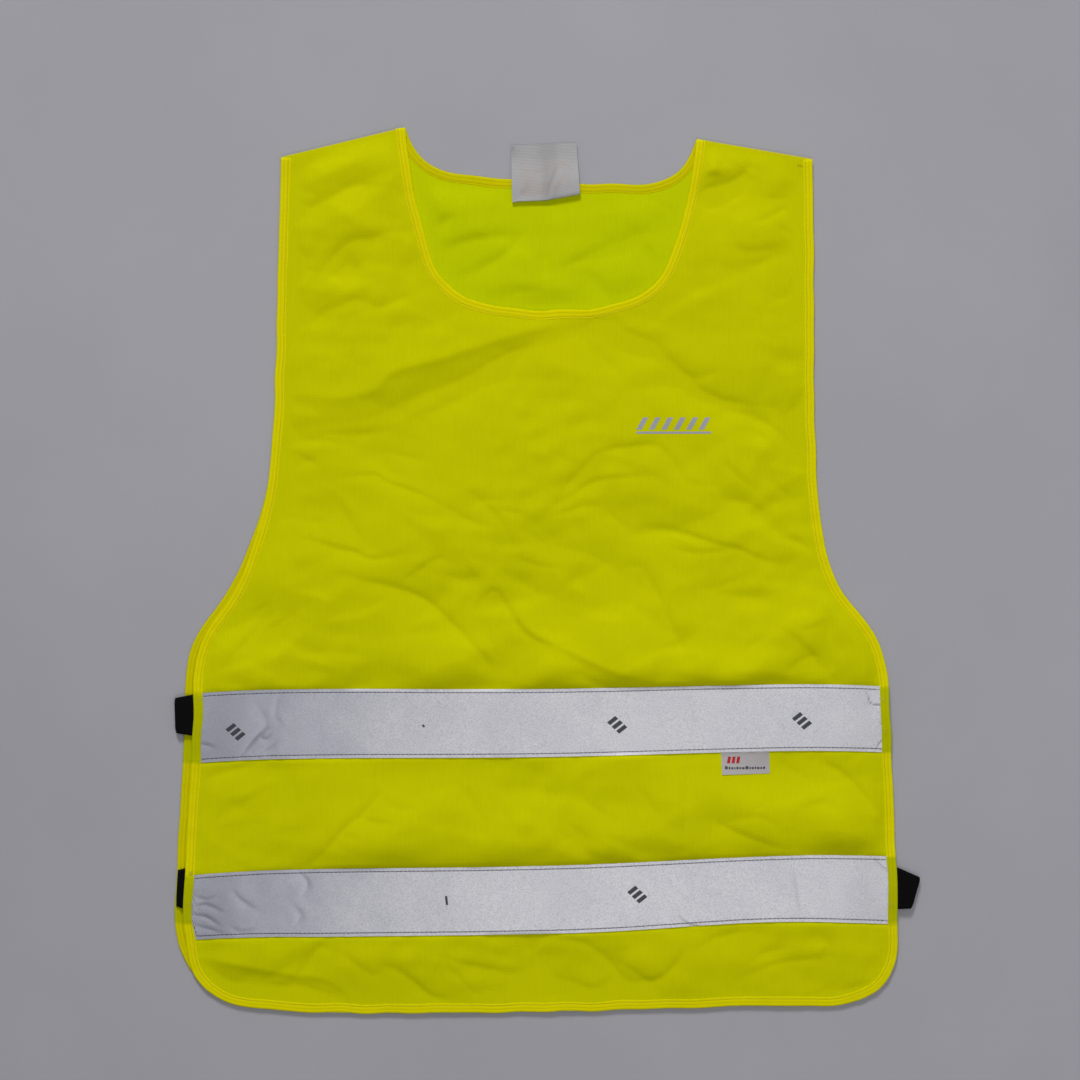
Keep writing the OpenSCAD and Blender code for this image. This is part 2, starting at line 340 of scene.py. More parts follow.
@functools.cache
def binding_finish(side):
    """Folded tape with fine cross ribs, painted shade in its grooves and along its folded rim, darker
    where a band lies under it, and a faint painted glow.
    """
    tape = Finish(side + "_binding")
    # The back's binding is the same tape drawn darker than the front's.
    tone = 1.0 if side == "front" else 0.86
    bright = shaded(colours().binding, tone)
    deep = shaded(colours().binding_deep, tone)
    spot = tape.place()[0]
    along, across = tape.measure("along"), tape.measure("across")
    ribs = along.ribs(0.0009)
    fuzz = tape.noise(spot, 1500, 3)
    cloud = tape.noise(spot, 60, 3)
    # Painted shade: the binding is drawn darker in its two grooves and along its folded rim
    groove_shade = 1 - tape.ramp((across - 0.0054).absolute(), 0.0001, 0.0007)
    crease_shade = 1 - tape.ramp((across - 0.0027).absolute(), 0.0001, 0.0007)
    rim = 1 - tape.ramp(across, 0.0001, 0.0012)
    worn = ribs * 0.2 + fuzz * 0.5 + cloud * 0.6 - groove_shade * 0.9 - crease_shade * 0.5 - rim * 0.25
    shade = tape.mix(tape.ramp(worn, -0.25, 0.75), deep, bright)
    shade = tape.mix(tape.measure("under") * 0.85, shade, (0.50, 0.54, 0.0))
    return tape.surface(
        Base_Color=shade,
        Roughness=0.72 + fuzz * 0.2,
        Specular_IOR_Level=0.04,
        # Emission gives a faint painted glow in the binding's colour, standing in for its fluorescence
        Emission_Color=shade,
        Emission_Strength=0.03,
        Normal=tape.bump(ribs * 0.3 + fuzz * 0.7 - groove_shade * 0.6, 0.0002, 0.7),
    )


@functools.cache
def seam_finish():
    """Cut edges of cloth under overlock thread."""
    seam = Finish("seam")
    tints = colours()
    spot, x, *_ = seam.place()
    loops = x.ribs(0.0021)
    fuzz = seam.noise(spot, 1300, 3)
    shade = seam.mix(loops * 0.5 + fuzz * 0.5, tints.binding_deep, tints.binding)
    return seam.surface(
        Base_Color=shade,
        Roughness=0.8 + fuzz * 0.15,
        Specular_IOR_Level=0.2,
        Normal=seam.bump(loops + fuzz, 0.0002),
    )


@functools.cache
def silver_finish():
    """Glass-bead tape: a fine grain, a painted reflection that fades towards its left end, and rubbed
    creases.
    """
    bead = Finish("reflective_tape")
    tints = colours()
    spot, x, y, _ = bead.place()
    grain = bead.noise(spot, 1300, 3, 0.7)
    weave = ((x + y) * (2 * math.pi / 0.0012)).sine() * ((x - y) * (2 * math.pi / 0.0012)).sine()
    cloud = bead.noise(spot, 22, 4, 0.6)
    smear = bead.noise(spot, 130, 3, stretch=(0.35, 1, 1))
    # Painted reflection: the band is drawn dimmer towards its left end and brighter towards its right
    bright = bead.ramp(x + (cloud - 0.5) * 0.10, -0.24, -0.06)
    tint = bead.mix(bead.ramp(cloud, 0.35, 0.65), (0.87, 0.86, 0.91), tints.silver)
    shade = bead.mix(bright, tints.silver_weak_reflection, tint)
    shade = bead.mix(bead.ramp(grain, 0.38, 0.68) * 0.5, shade, (0.40, 0.40, 0.45))
    sewn = 1 - bead.ramp((bead.measure("hem") - STITCH_INSET).absolute(), 0.0002, 0.0007)
    shade = bead.mix(sewn * 0.5, shade, (0.20, 0.20, 0.24))
    worn = bead.measure("worn")
    shade = bead.mix(worn, shade, (0.10, 0.10, 0.14))
    return bead.surface(
        Base_Color=shade,
        Metallic=0.55 - worn * 0.5,
        Roughness=0.40 + grain * 0.14 + smear * 0.03,
        Specular_IOR_Level=0.45,
        Normal=bead.bump(grain * 0.6 + weave * 0.15 + smear * 0.1 - sewn, 0.00012, 0.7),
    )


@functools.cache
def thread_finish(name):
    """Plied polyester thread: a slanting twist along each stitch."""
    thread = Finish(name)
    tint = getattr(colours(), name)
    spot, x, y, _ = thread.place()
    twist = (x + y).ribs(0.0004)
    fuzz = thread.noise(spot, 2500, 2)
    darker = shaded(tint, 0.6)
    return thread.surface(
        Base_Color=thread.mix(twist * 0.5 + fuzz * 0.5, darker, tuple(tint)),
        Roughness=0.5 + fuzz * 0.2,
        Normal=thread.bump(twist, 0.00006),
    )


@functools.cache
def elastic_finish():
    """Black woven elastic: ribs along its length and fine rubber lines across."""
    web = Finish("elastic")
    tint = tuple(colours().black)
    spot = web.place()[0]
    along, across = web.measure("along"), web.measure("across")
    ribs = across.ribs(0.0016)
    picks = along.ribs(0.0009)
    fuzz = web.noise(spot, 1600, 3)
    lighter = tuple(part * 2 + 0.001 for part in tint)
    shade = web.mix(ribs * 0.35 + picks * 0.2 + fuzz * 0.4, tint, lighter)
    return web.surface(
        Base_Color=shade,
        Roughness=0.7 + fuzz * 0.2,
        Specular_IOR_Level=0.06,
        Normal=web.bump(ribs * 0.6 + picks * 0.3 + fuzz * 0.3, 0.0002),
    )


@functools.cache
def label_finish():
    """White woven label: cross ribs, a print on its far side that shows through faintly, and painted
    shade along its creases.
    """
    label = Finish("label")
    tint = tuple(colours().label)
    spot = label.place()[0]
    along, across = label.measure("along"), label.measure("across")
    ribs = along.ribs(0.0011)
    warp = across.ribs(0.0008)
    fuzz = label.noise(spot, 1200, 3)
    stripe = label.ramp(across, -0.006, 0.001) * (1 - label.ramp(across, 0.006, 0.013))
    block = (
        label.ramp(along, 0.012, 0.018) * (1 - label.ramp(along, 0.040, 0.048))
        * (1 - label.ramp(across.absolute(), 0.017, 0.022))
    )
    rosy = block * label.noise(spot, 45, 2, stretch=(1, 2.5, 1))
    shade = label.mix(fuzz * 0.35 + ribs * 0.22 + warp * 0.18, tint, (0.36, 0.35, 0.36))
    shade = label.mix(stripe * 0.45, shade, (0.40, 0.39, 0.38))
    shade = label.mix(label.ramp(rosy, 0.35, 0.7) * 0.4, shade, (0.52, 0.43, 0.38))
    # Painted shade along the label's creases
    shade = label.mix(label.measure("worn") * 0.5, shade, (0.27, 0.26, 0.27))
    return label.surface(
        Base_Color=shade,
        Roughness=0.62 + fuzz * 0.2,
        Specular_IOR_Level=0.3,
        Normal=label.bump(ribs * 0.5 + warp * 0.3 + fuzz * 0.4, 0.00014),
    )


@functools.cache
def flag_finish():
    """Grey-white satin ribbon with fine cross ribs."""
    satin = Finish("flag_satin")
    tint = tuple(colours().flag)
    spot, _, y, _ = satin.place()
    ribs = y.ribs(0.0007)
    fuzz = satin.noise(spot, 1500, 2)
    darker = shaded(tint, 0.82)
    return satin.surface(
        Base_Color=satin.mix(ribs * 0.4 + fuzz * 0.6, darker, tint),
        Roughness=0.48 + fuzz * 0.15,
        Normal=satin.bump(ribs + fuzz, 0.00008),
    )


# Each print's colour and how patchy it is
PRINTS = {
    "transfer_print": ("motif", 0.3),
    "band_print": ("print_grey", 0.35),
    "label_print_red": ("print_red", 0.3),
}


@functools.cache
def print_finish(name):
    """Ink or transfer film: slightly uneven, with the weave below telling through."""
    ink = Finish(name)
    key, patchiness = PRINTS[name]
    tint = getattr(colours(), key)
    spot, x, *_ = ink.place()
    patch = ink.noise(spot, 900, 3)
    cloud = ink.noise(spot, 220, 2)
    rib = x.ribs(0.00145)
    darker = shaded(tint, 1 - patchiness)
    return ink.surface(
        Base_Color=ink.mix(patch * 0.6 + cloud * 0.4, darker, tuple(tint)),
        Roughness=0.5 + patch * 0.2,
        Normal=ink.bump(patch * 0.5 + rib * 0.5, 0.0001),
    )


@functools.cache
def floor_finish():
    """Pale matt board with faint clouds and dust."""
    board = Finish("floor")
    tint = tuple(colours().floor)
    spot = board.place()[0]
    cloud = board.noise(spot, 3.5, 5, 0.6)
    dust = board.noise(spot, 900, 3, 0.7)
    darker = shaded(tint, 0.90)
    shade = board.mix(board.ramp(cloud * 0.7 + dust * 0.3, 0.25, 0.75), darker, tint)
    return board.surface(
        Base_Color=shade,
        Roughness=0.85 + dust * 0.1,
        Specular_IOR_Level=0.2,
        Normal=board.bump(dust, 0.0001, 0.4),
    )


# Lines and outlines ---------------------------------------------------------------------


def ease(value, low, high):
    """0 at low, 1 at high and smooth between, for numbers and arrays."""
    share = np.clip((value - low) / (high - low), 0, 1)
    return share * share * (3 - 2 * share)


def run_lengths(points):
    """Distance along a line to each of its points."""
    steps = np.linalg.norm(np.diff(points, axis=0), axis=1)
    return np.concatenate([[0], np.cumsum(steps)])


def smooth_line(points, spacing):
    """An even line through the points, curved between them."""
    points = np.asarray(points, float)
    if len(points) > 2:
        before = np.vstack([2 * points[:1] - points[1:2], points[:-1]])
        after = np.vstack([points[1:], 2 * points[-1:] - points[-2:-1]])
        slope = (after - before) / 2
        t = np.linspace(0, 1, 9)[:-1, None]
        pieces = [
            (2 * t**3 - 3 * t**2 + 1) * points[i]
            + (t**3 - 2 * t**2 + t) * slope[i]
            + (3 * t**2 - 2 * t**3) * points[i + 1]
            + (t**3 - t**2) * slope[i + 1]
            for i in range(len(points) - 1)
        ]
        points = np.vstack([*pieces, points[-1:]])
    run = run_lengths(points)
    count = max(2, round(run[-1] / spacing) + 1)
    even = np.linspace(0, run[-1], count)
    return np.stack([np.interp(even, run, part) for part in points.T], axis=1)


def inward(line):
    """Unit vectors to the right of each point of a line in the plane."""
    way = np.gradient(line, axis=0)
    way /= np.linalg.norm(way, axis=1)[:, None]
    return np.stack([way[:, 1], -way[:, 0]], axis=1)


@functools.cache
def top_outline(node):
    """Outline of the top face of a CAD node, clockwise, as an array of points."""
    grid = bmesh.new()
    grid.from_mesh(frame["nodes"][node].data)
    bmesh.ops.remove_doubles(grid, verts=grid.verts, dist=1e-6)
    top = max(v.co.z for v in grid.verts)
    faces = {f for f in grid.faces if all(top - v.co.z < 1e-5 for v in f.verts)}
    following = {}
    for edge in grid.edges:
        if sum(face in faces for face in edge.link_faces) == 1:
            for one, other in (edge.verts, reversed(edge.verts)):
                following.setdefault(one, []).append(other)
    first = next(iter(following))
    walk = [first, following[first][0]]
    while True:
        onward = [v for v in following[walk[-1]] if v is not walk[-2]]
        if not onward or onward[0] is first:
            break
        walk.append(onward[0])
    points = np.array([v.co.xy for v in walk], float)
    grid.free()
    x, y = points.T
    turning = np.sum(x * np.roll(y, -1) - y * np.roll(x, -1))
    return points[::-1] if turning > 0 else points


@functools.cache
def panel_lines(side):
    """The edge, neck and two shoulder lines of a panel, from its right shoulder tip."""
    points = top_outline(side + "_panel")
    into = points - np.roll(points, 1, axis=0)
    out = np.roll(points, -1, axis=0) - points
    cross = into[:, 0] * out[:, 1] - into[:, 1] * out[:, 0]
    turn = np.abs(np.arctan2(cross, np.sum(into * out, axis=1)))
    sharp = [i for i in np.argsort(-turn) if points[i, 1] > 0.25][:4]
    tip = max(sharp, key=lambda i: points[i, 0])
    points = np.roll(points, -tip, axis=0)
    corners = sorted((i - tip) % len(points) for i in sharp)
    closed = np.vstack([points, points[:1]])
    corners.append(len(points))
    names = ("edge", "left_shoulder", "neck", "right_shoulder")
    return {
        name: closed[start : end + 1]
        for name, start, end in zip(names, corners, corners[1:])
    }


def inside(points, outline):
    """Which of the points are inside a closed outline."""
    x, y = points.T
    result = np.zeros(len(points), bool)
    for (ax, ay), (bx, by) in zip(outline, np.roll(outline, -1, axis=0)):
        if ay != by:
            crossing = (ay > y) != (by > y)
            result ^= crossing & (x < (bx - ax) * (y - ay) / (by - ay) + ax)
    return result


def nearest(points, line, chunk=4000):
    """For each point, its distance to a line, the place along it and the way off it."""
    run = run_lengths(line)
    index = np.empty(len(points), int)
    for start in range(0, len(points), chunk):
        gaps = ((points[start : start + chunk, None] - line[None]) ** 2).sum(axis=2)
        index[start : start + chunk] = gaps.argmin(axis=1)
    away = points - line[index]
    return np.linalg.norm(away, axis=1), run[index], away


def swell(points, wavelength, seed, waves=9):
    """Soft random rise and fall between about -1 and 1."""
    draw = np.random.default_rng(seed)
    total = np.zeros(len(points))
    for _ in range(waves):
        heading, phase = draw.uniform(0, 2 * math.pi, 2)
        step = wavelength * draw.uniform(0.7, 1.5)
        along = points[:, 0] * math.cos(heading) + points[:, 1] * math.sin(heading)
        total += np.sin(2 * math.pi * along / step + phase)
    return total / math.sqrt(waves)


def turned(points, centre, degrees):
    """Points turned about the origin, then moved to a centre."""
    angle = math.radians(degrees)
    turn = np.array([[math.cos(angle), math.sin(angle)], [-math.sin(angle), math.cos(angle)]])
    return np.asarray(points, float) @ turn + np.asarray(centre, float)


@functools.cache
def facet_grid(spacing, seed):
    """Heights of flat three-cornered facets on a fine grid: its corner, its step and rows."""
    draw = np.random.default_rng(seed)
    low, high = (np.array(corner[:2]) for corner in CAD_BOX)
    low, high = low - 2 * spacing, high + 2 * spacing
    wide = spacing * np.array([1.35, 0.8])
    counts = np.ceil((high - low) / wide).astype(int) + 1
    corners = np.stack(np.meshgrid(*(np.arange(count) for count in counts)), axis=2).reshape(-1, 2)
    corners = low + wide * (corners + draw.uniform(-0.42, 0.42, corners.shape))
    made = delaunay_2d_cdt([Vector(p) for p in corners], [], [], 0, 1e-7)
    points = [(*v, h) for v, h in zip(made[0], draw.uniform(-1, 1, len(made[0])))]
    tree = BVHTree.FromPolygons(points, made[2])
    step = spacing / 16
    xs, ys = (np.arange(a + spacing, b - spacing, step) for a, b in zip(low, high))
    rows = np.array([[tree.ray_cast((x, y, 2), (0, 0, -1))[0].z for x in xs] for y in ys])
    for _ in range(2):
        rows[1:-1] = (rows[:-2] + 2 * rows[1:-1] + rows[2:]) / 4
        rows[:, 1:-1] = (rows[:, :-2] + 2 * rows[:, 1:-1] + rows[:, 2:]) / 4
    return low + spacing, step, rows


def facets(points, spacing, seed):
    """Flat facets with crisp edges between them, from -1 to 1, as in crumpled cloth."""
    corner, step, rows = facet_grid(spacing, seed)
    place = (points - corner) / step
    whole = np.clip(place.astype(int), 0, np.array(rows.shape[::-1]) - 2)
    (i, j), (u, v) = whole.T, (place - whole).T
    lower = rows[j, i] * (1 - u) + rows[j, i + 1] * u
    upper = rows[j + 1, i] * (1 - u) + rows[j + 1, i + 1] * u
    return lower * (1 - v) + upper * v


def slanted_facets(points, degrees):
    """Small long facets, turned by an angle."""
    return facets(turned(points, (0, 0), degrees) * (0.45, 0.85), 0.015, 20)


def edge_at(line, y, side):
    """How far out a panel's edge line is at a height, on its left (-1) or right (1)."""
    half = line[: len(line) // 2] if side > 0 else line[len(line) // 2 :][::-1]
    keep = half[:, 1] > -0.30
    half = half[keep]
    order = np.argsort(half[:, 1])
    return np.interp(y, half[order, 1], half[order, 0])


# How the cloth lies ---------------------------------------------------------------------

# Each fold is its line, in millimetres, its depth and its width. A negative depth is a ridge.
FRONT_FOLDS = [
    # Chest, from the neck down to the sides
    ([(24, 186), (-6, 178), (-43, 167), (-80, 155),
      (-112, 146), (-126, 133), (-154, 127), (-186, 130)], -2.5, 13),
    ([(26, 172), (-20, 160), (-60, 141), (-100, 126), (-128, 112), (-160, 108)], 1.7, 16),
    ([(-6, 170), (-31, 155), (-56, 133), (-74, 121), (-94, 114)], 1.3, 8),
    ([(36, 186), (60, 174), (84, 160), (104, 141), (118, 129), (140, 123), (166, 121)], 2.6, 9),
    ([(20, 176), (36, 164), (52, 148), (60, 136)], 0.6, 6),
    ([(131, 117), (149, 115), (163, 108), (176, 97), (185, 88)], 1.2, 5),
    ([(144, 103), (157, 100), (168, 90), (171, 82)], 0.8, 5),
    # Left shoulder
    ([(-183, 267), (-170, 269), (-155, 276), (-142, 283), (-127, 283), (-116, 282)], 1.4, 9),
    ([(-176, 206), (-168, 218), (-155, 233), (-142, 243), (-132, 244), (-119, 248), (-104, 251)], 1.3, 9),
    ([(-179, 222), (-168, 221)], 0.7, 3),
    ([(-187, 182), (-170, 184), (-161, 192), (-150, 194),
      (-139, 200), (-122, 194), (-106, 200), (-95, 205)], 1.2, 9),
    ([(-160, 214), (-150, 222), (-144, 232)], 0.8, 6),
    ([(-168, 101), (-140, 100), (-117, 103)], 1.2, 7),
    ([(-186, 92), (-168, 96), (-140, 92)], 0.7, 6),
    # Right shoulder
    ([(110, 276), (119, 278), (132, 281), (142, 287), (149, 297)], 4.6, 10),
    ([(114, 290), (122, 294), (130, 294)], -2.4, 7),
    ([(128, 312), (134, 302), (146, 296)], 0.9, 6),
    ([(132, 262), (136, 248), (142, 237), (155, 235), (168, 237), (176, 242)], 1.1, 8),
    ([(142, 226), (155, 226), (168, 231)], 0.7, 5),
    ([(148, 254), (162, 259), (175, 266), (186, 268)], 0.9, 4),
    ([(160, 276), (188, 272)], 0.5, 3),
    ([(172, 253), (184, 247)], 0.7, 3),
    ([(145, 194), (155, 190), (158, 179), (165, 172), (176, 170)], 0.6, 5),
    ([(96, 232), (112, 214), (116, 190)], 0.5, 8),
    # Middle, left
    ([(-184, 86), (-176, 82), (-167, 77)], 0.8, 3),
    ([(-150, 69), (-125, 70), (-117, 65), (-92, 56), (-70, 45)], 0.9, 3),
    ([(-118, 88), (-106, 85), (-85, 80)], 0.6, 3),
    ([(-160, 58), (-149, 44), (-134, 18)], 0.7, 4),
    ([(-176, 23), (-152, 16), (-140, 13), (-126, 8), (-106, 12)], 1.3, 4),
    ([(-150, -3), (-136, -7), (-117, -11), (-98, -17),
      (-85, -24), (-71, -37), (-57, -51), (-43, -67), (-30, -88)], 1.9, 6),
    ([(-104, -8), (-92, 1), (-79, 9), (-72, 6)], 1.0, 4),
    ([(-76, -2), (-62, -6), (-50, -4)], 0.6, 4),
    ([(-60, 61), (-43, 47), (-33, 36), (-26, 22)], 0.9, 5),
    ([(-48, 53), (-30, 51)], 0.6, 3),
    ([(-35, 45), (-14, 41)], 0.7, 3),
    ([(-71, 45), (-54, 36), (-38, 31)], 0.8, 4),
    ([(-50, -27), (-38, -15), (-27, -29), (-16, -45), (-3, -53), (12, -56)], 1.6, 5),
    ([(-46, -37), (-38, -59), (-33, -74)], 1.1, 4),
    ([(-23, 10), (-8, 4), (12, 2)], 0.9, 4),
    ([(-62, 8), (-52, -8), (-56, -22)], 0.5, 5),
    ([(-22, 34), (-4, 22), (4, 10)], 0.5, 4),
    ([(-221, -38), (-212, -30), (-204, -24)], 0.9, 4),
    ([(-235, -70), (-217, -48), (-202, -33)], 1.1, 5),
    ([(-206, -46), (-188, -34), (-176, -28)], 0.7, 5),
    ([(-120, -32), (-116, -56), (-122, -76)], 0.6, 7),
    ([(-196, -64), (-160, -60), (-130, -62)], 0.6, 7),
    # Middle, right
    ([(7, 48), (19, 66), (33, 81), (40, 87), (60, 91),
      (81, 92), (92, 83), (100, 72), (106, 64), (126, 62)], 1.0, 4),
    ([(2, 44), (19, 55), (35, 65), (52, 68), (80, 70)], 1.1, 4),
    ([(2, 40), (16, 43), (27, 47), (42, 49)], 1.0, 5),
    ([(45, 48), (54, 35), (63, 30)], 0.7, 3),
    ([(74, 31), (90, 30), (109, 25), (127, 19), (141, 16), (155, 10), (167, 6)], 1.6, 4),
    ([(88, 18), (108, 13), (128, 14), (142, 16)], 1.0, 3),
    ([(90, 26), (100, 21), (112, 18)], -0.6, 3),
    ([(130, 82), (139, 72), (153, 60)], 1.1, 4),
    ([(135, 52), (149, 50), (161, 41)], 0.8, 4),
    ([(56, 2), (70, 3), (77, -7), (84, -21), (90, -34), (98, -51), (106, -69), (110, -84)], 1.2, 4),
    ([(27, 17), (43, 5), (62, -7), (76, -15)], 0.6, 5),
    ([(-20, -36), (-8, -47), (14, -58), (35, -68), (52, -75), (72, -80)], -1.5, 6),
    ([(20, -74), (44, -86), (70, -90)], 1.2, 7),
    ([(168, -42), (179, -47), (193, -59), (204, -72), (215, -82)], 1.2, 5),
    ([(184, -44), (196, -42), (208, -36)], 0.8, 3),
    ([(142, -62), (157, -51), (169, -46)], 0.6, 4),
    ([(175, -79), (184, -68), (198, -63), (208, -68)], 0.8, 4),
    ([(208, -40), (206, -58), (214, -76)], 1.3, 7),
    ([(170, 24), (187, 21), (196, 12)], 0.6, 3),
    ([(148, -4), (126, -12), (106, -14)], 0.6, 5),
    ([(164, 66), (176, 58), (186, 44)], 0.6, 4),
    # Between the bands
    ([(-176, -217), (-166, -210), (-155, -198), (-146, -188), (-134, -178), (-117, -158)], 1.4, 5),
    ([(-149, -195), (-136, -197)], 0.7, 3),
    ([(-135, -182), (-126, -185), (-110, -186)], 0.9, 3),
    ([(-120, -166), (-111, -174), (-99, -175), (-87, -171)], 0.7, 4),
    ([(-65, -157), (-56, -166), (-47, -184), (-42, -197)], 1.1, 5),
    ([(-36, -168), (-24, -190), (-17, -200)], 0.6, 5),
    ([(-256, -155), (-234, -148), (-208, -140)], 1.0, 6),
    ([(-188, -148), (-184, -164), (-182, -182)], 0.7, 3),
    ([(-250, -196), (-220, -186), (-196, -190)], 0.6, 8),
    ([(22, -159), (32, -172), (46, -181), (56, -186)], 0.9, 5),
    ([(13, -183), (29, -195)], 0.7, 4),
    ([(66, -157), (75, -169), (82, -185)], 0.8, 6),
    ([(107, -139), (103, -164), (102, -206)], 1.1, 3),
    ([(121, -182), (137, -191), (163, -201), (178, -205)], 1.2, 4),
    ([(127, -187), (145, -182), (160, -182), (175, -192)], 1.0, 5),
    ([(186, -180), (192, -174), (204, -171), (216, -178)], 1.1, 6),
    ([(200, -139), (218, -149), (230, -161), (242, -175), (248, -181)], 2.0, 6),
    ([(240, -156), (251, -157)], 0.7, 3),
    ([(238, -183), (250, -190)], 0.7, 3),
    ([(171, -139), (189, -152)], 0.8, 6),
    # Hem
    ([(-256, -285), (-225, -291), (-201, -296),
      (-183, -299), (-165, -301), (-153, -306), (-144, -316)], -1.1, 5),
    ([(-240, -302), (-216, -308), (-180, -307), (-159, -314)], 1.1, 4),
    ([(-186, -301), (-177, -292), (-171, -281), (-165, -277), (-156, -283)], 1.0, 4),
    ([(-156, -277), (-141, -289), (-126, -298), (-117, -292)], 0.9, 5),
    ([(-118, -291), (-108, -295), (-96, -304), (-84, -314), (-66, -318)], 1.5, 5),
    ([(-81, -283), (-60, -290), (-30, -296), (-12, -300)], 1.1, 5),
    ([(-75, -289), (-63, -301), (-48, -316)], 0.7, 4),
    ([(0, -270), (24, -273), (39, -281), (51, -293), (60, -304)], 1.3, 6),
    ([(0, -302), (18, -304), (36, -311), (54, -316), (69, -307), (81, -300)], 1.2, 5),
    ([(50, -287), (62, -293), (78, -303), (93, -293), (102, -280), (106, -271)], 1.1, 4),
    ([(113, -277), (128, -270), (150, -265)], 1.3, 6),
    ([(149, -292), (161, -282), (180, -278)], 0.9, 5),
    ([(143, -301), (161, -293), (180, -288), (198, -286), (210, -284)], 1.1, 5),
    ([(194, -314), (221, -309), (239, -304), (249, -294)], 0.9, 4),
    ([(203, -268), (209, -277), (203, -284)], 0.8, 6),
]
BACK_FOLDS = [
    ([(0, 268), (-1, 240), (0, 212)], 0.9, 3),
    ([(16, 225), (34, 233), (49, 238), (74, 251)], 1.1, 5),
    ([(32, 219), (42, 206), (50, 196)], 1.4, 6),
    ([(64, 251), (77, 232), (86, 217)], 0.8, 6),
    ([(70, 277), (86, 271), (99, 260)], 0.6, 4),
    ([(83, 266), (87, 248), (85, 238)], 0.8, 5),
    ([(-87, 229), (-56, 244), (-6, 248)], 0.8, 6),
    ([(-75, 210), (-50, 222), (-30, 234), (-7, 260)], 0.7, 5),
    ([(-80, 248), (-75, 258), (-66, 261)], 0.8, 5),
    ([(-40, 196), (-20, 206), (4, 204)], 0.6, 6),
]
# Rubbed creases in the bands: line, depth and width in millimetres, and how dark they are.
FRONT_CREASES = [
    ([(237, -90), (239, -97), (243, -99), (250, -99)], 0.5, 0.8, 0.8),
    ([(244, -131), (246, -127), (251, -124)], 0.5, 0.8, 0.8),
    ([(246, -111), (248, -114), (251, -113)], 0.3, 0.7, 0.5),
    ([(-223, -136), (-217, -129), (-211, -122), (-205, -116)], 1.3, 2.6, 0.5),
    ([(-210, -122), (-206, -124), (-202, -121)], 0.8, 1.6, 0.4),
    ([(-258, -129), (-252, -128), (-244, -130)], 1.0, 1.4, 0.6),
    ([(-209, -135), (-201, -129), (-198, -126)], 0.9, 2.6, 0.22),
    ([(-196, -92), (-199, -106), (-193, -116)], 0.6, 4.0, 0.05),
    ([(-214, -98), (-206, -110), (-210, -118)], 0.5, 5.0, 0.0),
    ([(-260, -254), (-250, -255), (-240, -261)], 1.1, 1.4, 0.6),
    ([(-260, -248), (-250, -246), (-238, -251)], 1.0, 1.6, 0.4),
    ([(-259, -240), (-250, -242), (-244, -240)], 0.8, 1.4, 0.3),
    ([(-258, -262), (-248, -264), (-238, -267)], 0.9, 1.4, 0.45),
    ([(-230, -236), (-222, -244), (-213, -249)], 0.8, 2.4, 0.15),
    ([(-232, -262), (-224, -266), (-216, -264)], 0.7, 2.0, 0.15),
    ([(-181, -222), (-175, -230), (-178, -239)], 0.8, 2.0, 0.15),
    ([(-186, -246), (-180, -254), (-185, -263)], 0.6, 3.0, 0.08),
    ([(98, -254), (105, -260), (111, -262), (119, -262)], 0.9, 1.1, 0.6),
    ([(243, -213), (248, -218), (256, -224)], 0.6, 0.9, 0.6),
    ([(107, -94), (108, -112), (107, -132)], 0.35, 3.0, 0.04),
    ([(107, -222), (108, -240), (106, -256)], 0.35, 3.0, 0.04),
    ([(183, -220), (186, -240), (189, -258)], 0.45, 2.4, 0.10),
    ([(40, -100), (30, -114), (36, -126)], 0.3, 7.0, 0.0),
    ([(-40, -92), (-46, -110), (-38, -128)], 0.3, 7.0, 0.0),
    ([(10, -222), (2, -240), (8, -256)], 0.3, 7.0, 0.0),
]
# The same for the neck label, from the middle of its fold; here the darkness is painted shade along the
# creases
LABEL_CREASES = [
    ([(0, -2), (2, 8), (5, 16), (8, 23)], 0.6, 1.7, 0.75),
    ([(-1, 0), (0, 10), (1, 20), (1, 30)], 0.2, 5.0, 0.35),
    ([(3, -2), (7, 8), (11, 16), (14, 23)], -0.5, 2.4, 0.0),
    ([(-4, 12), (-5, 26), (-4, 40)], 0.5, 5.0, 0.15),
    ([(-20, 3), (-14, 8), (-12, 16)], 0.4, 4.0, 0.1),
    ([(-24, 38), (-23, 39), (-22, 40)], 0.1, 1.5, 0.9),
]


def fold_heights(points, folds):
    """Height that the folds give the cloth. Each is steeper on its side towards the neck."""
    total = np.zeros(len(points))
    for corners, depth, width, *_ in folds:
        depth = depth * (0.95 + 0.1 * ease(width, 4, 9))
        line = smooth_line(np.array(corners) * MM, 0.0008)
        reach = 3.2 * width * MM
        near = np.all((points > line.min(0) - reach) & (points < line.max(0) + reach), axis=1)
        if near.any():
            distance, place, away = nearest(points[near], line)
            upper = ease(away[:, 1] / np.maximum(distance, 1e-6) * np.sign(depth), -0.6, 0.6)
            reach_here = width * MM * (1.7 - 1.05 * upper)
            across = np.sqrt((distance / reach_here) ** 2 + 0.015) - 0.12
            fade = np.sin(math.pi * np.clip(place / run_lengths(line)[-1], 0.05, 0.95)) ** 0.6
            total[near] -= depth * MM * fade * (1 - 0.35 * across) * np.exp(-across * 1.1)
    return total


# How far the cloth lies below its bands, so that the two never meet.
BAND_ROOM = {"front": 0.0012, "back": -0.0002}
# Heights of the front's cloth at the shoulder seams, and at its lowest
SEAM_HEIGHT = 0.0030
FRONT_LOWEST = 0.00225


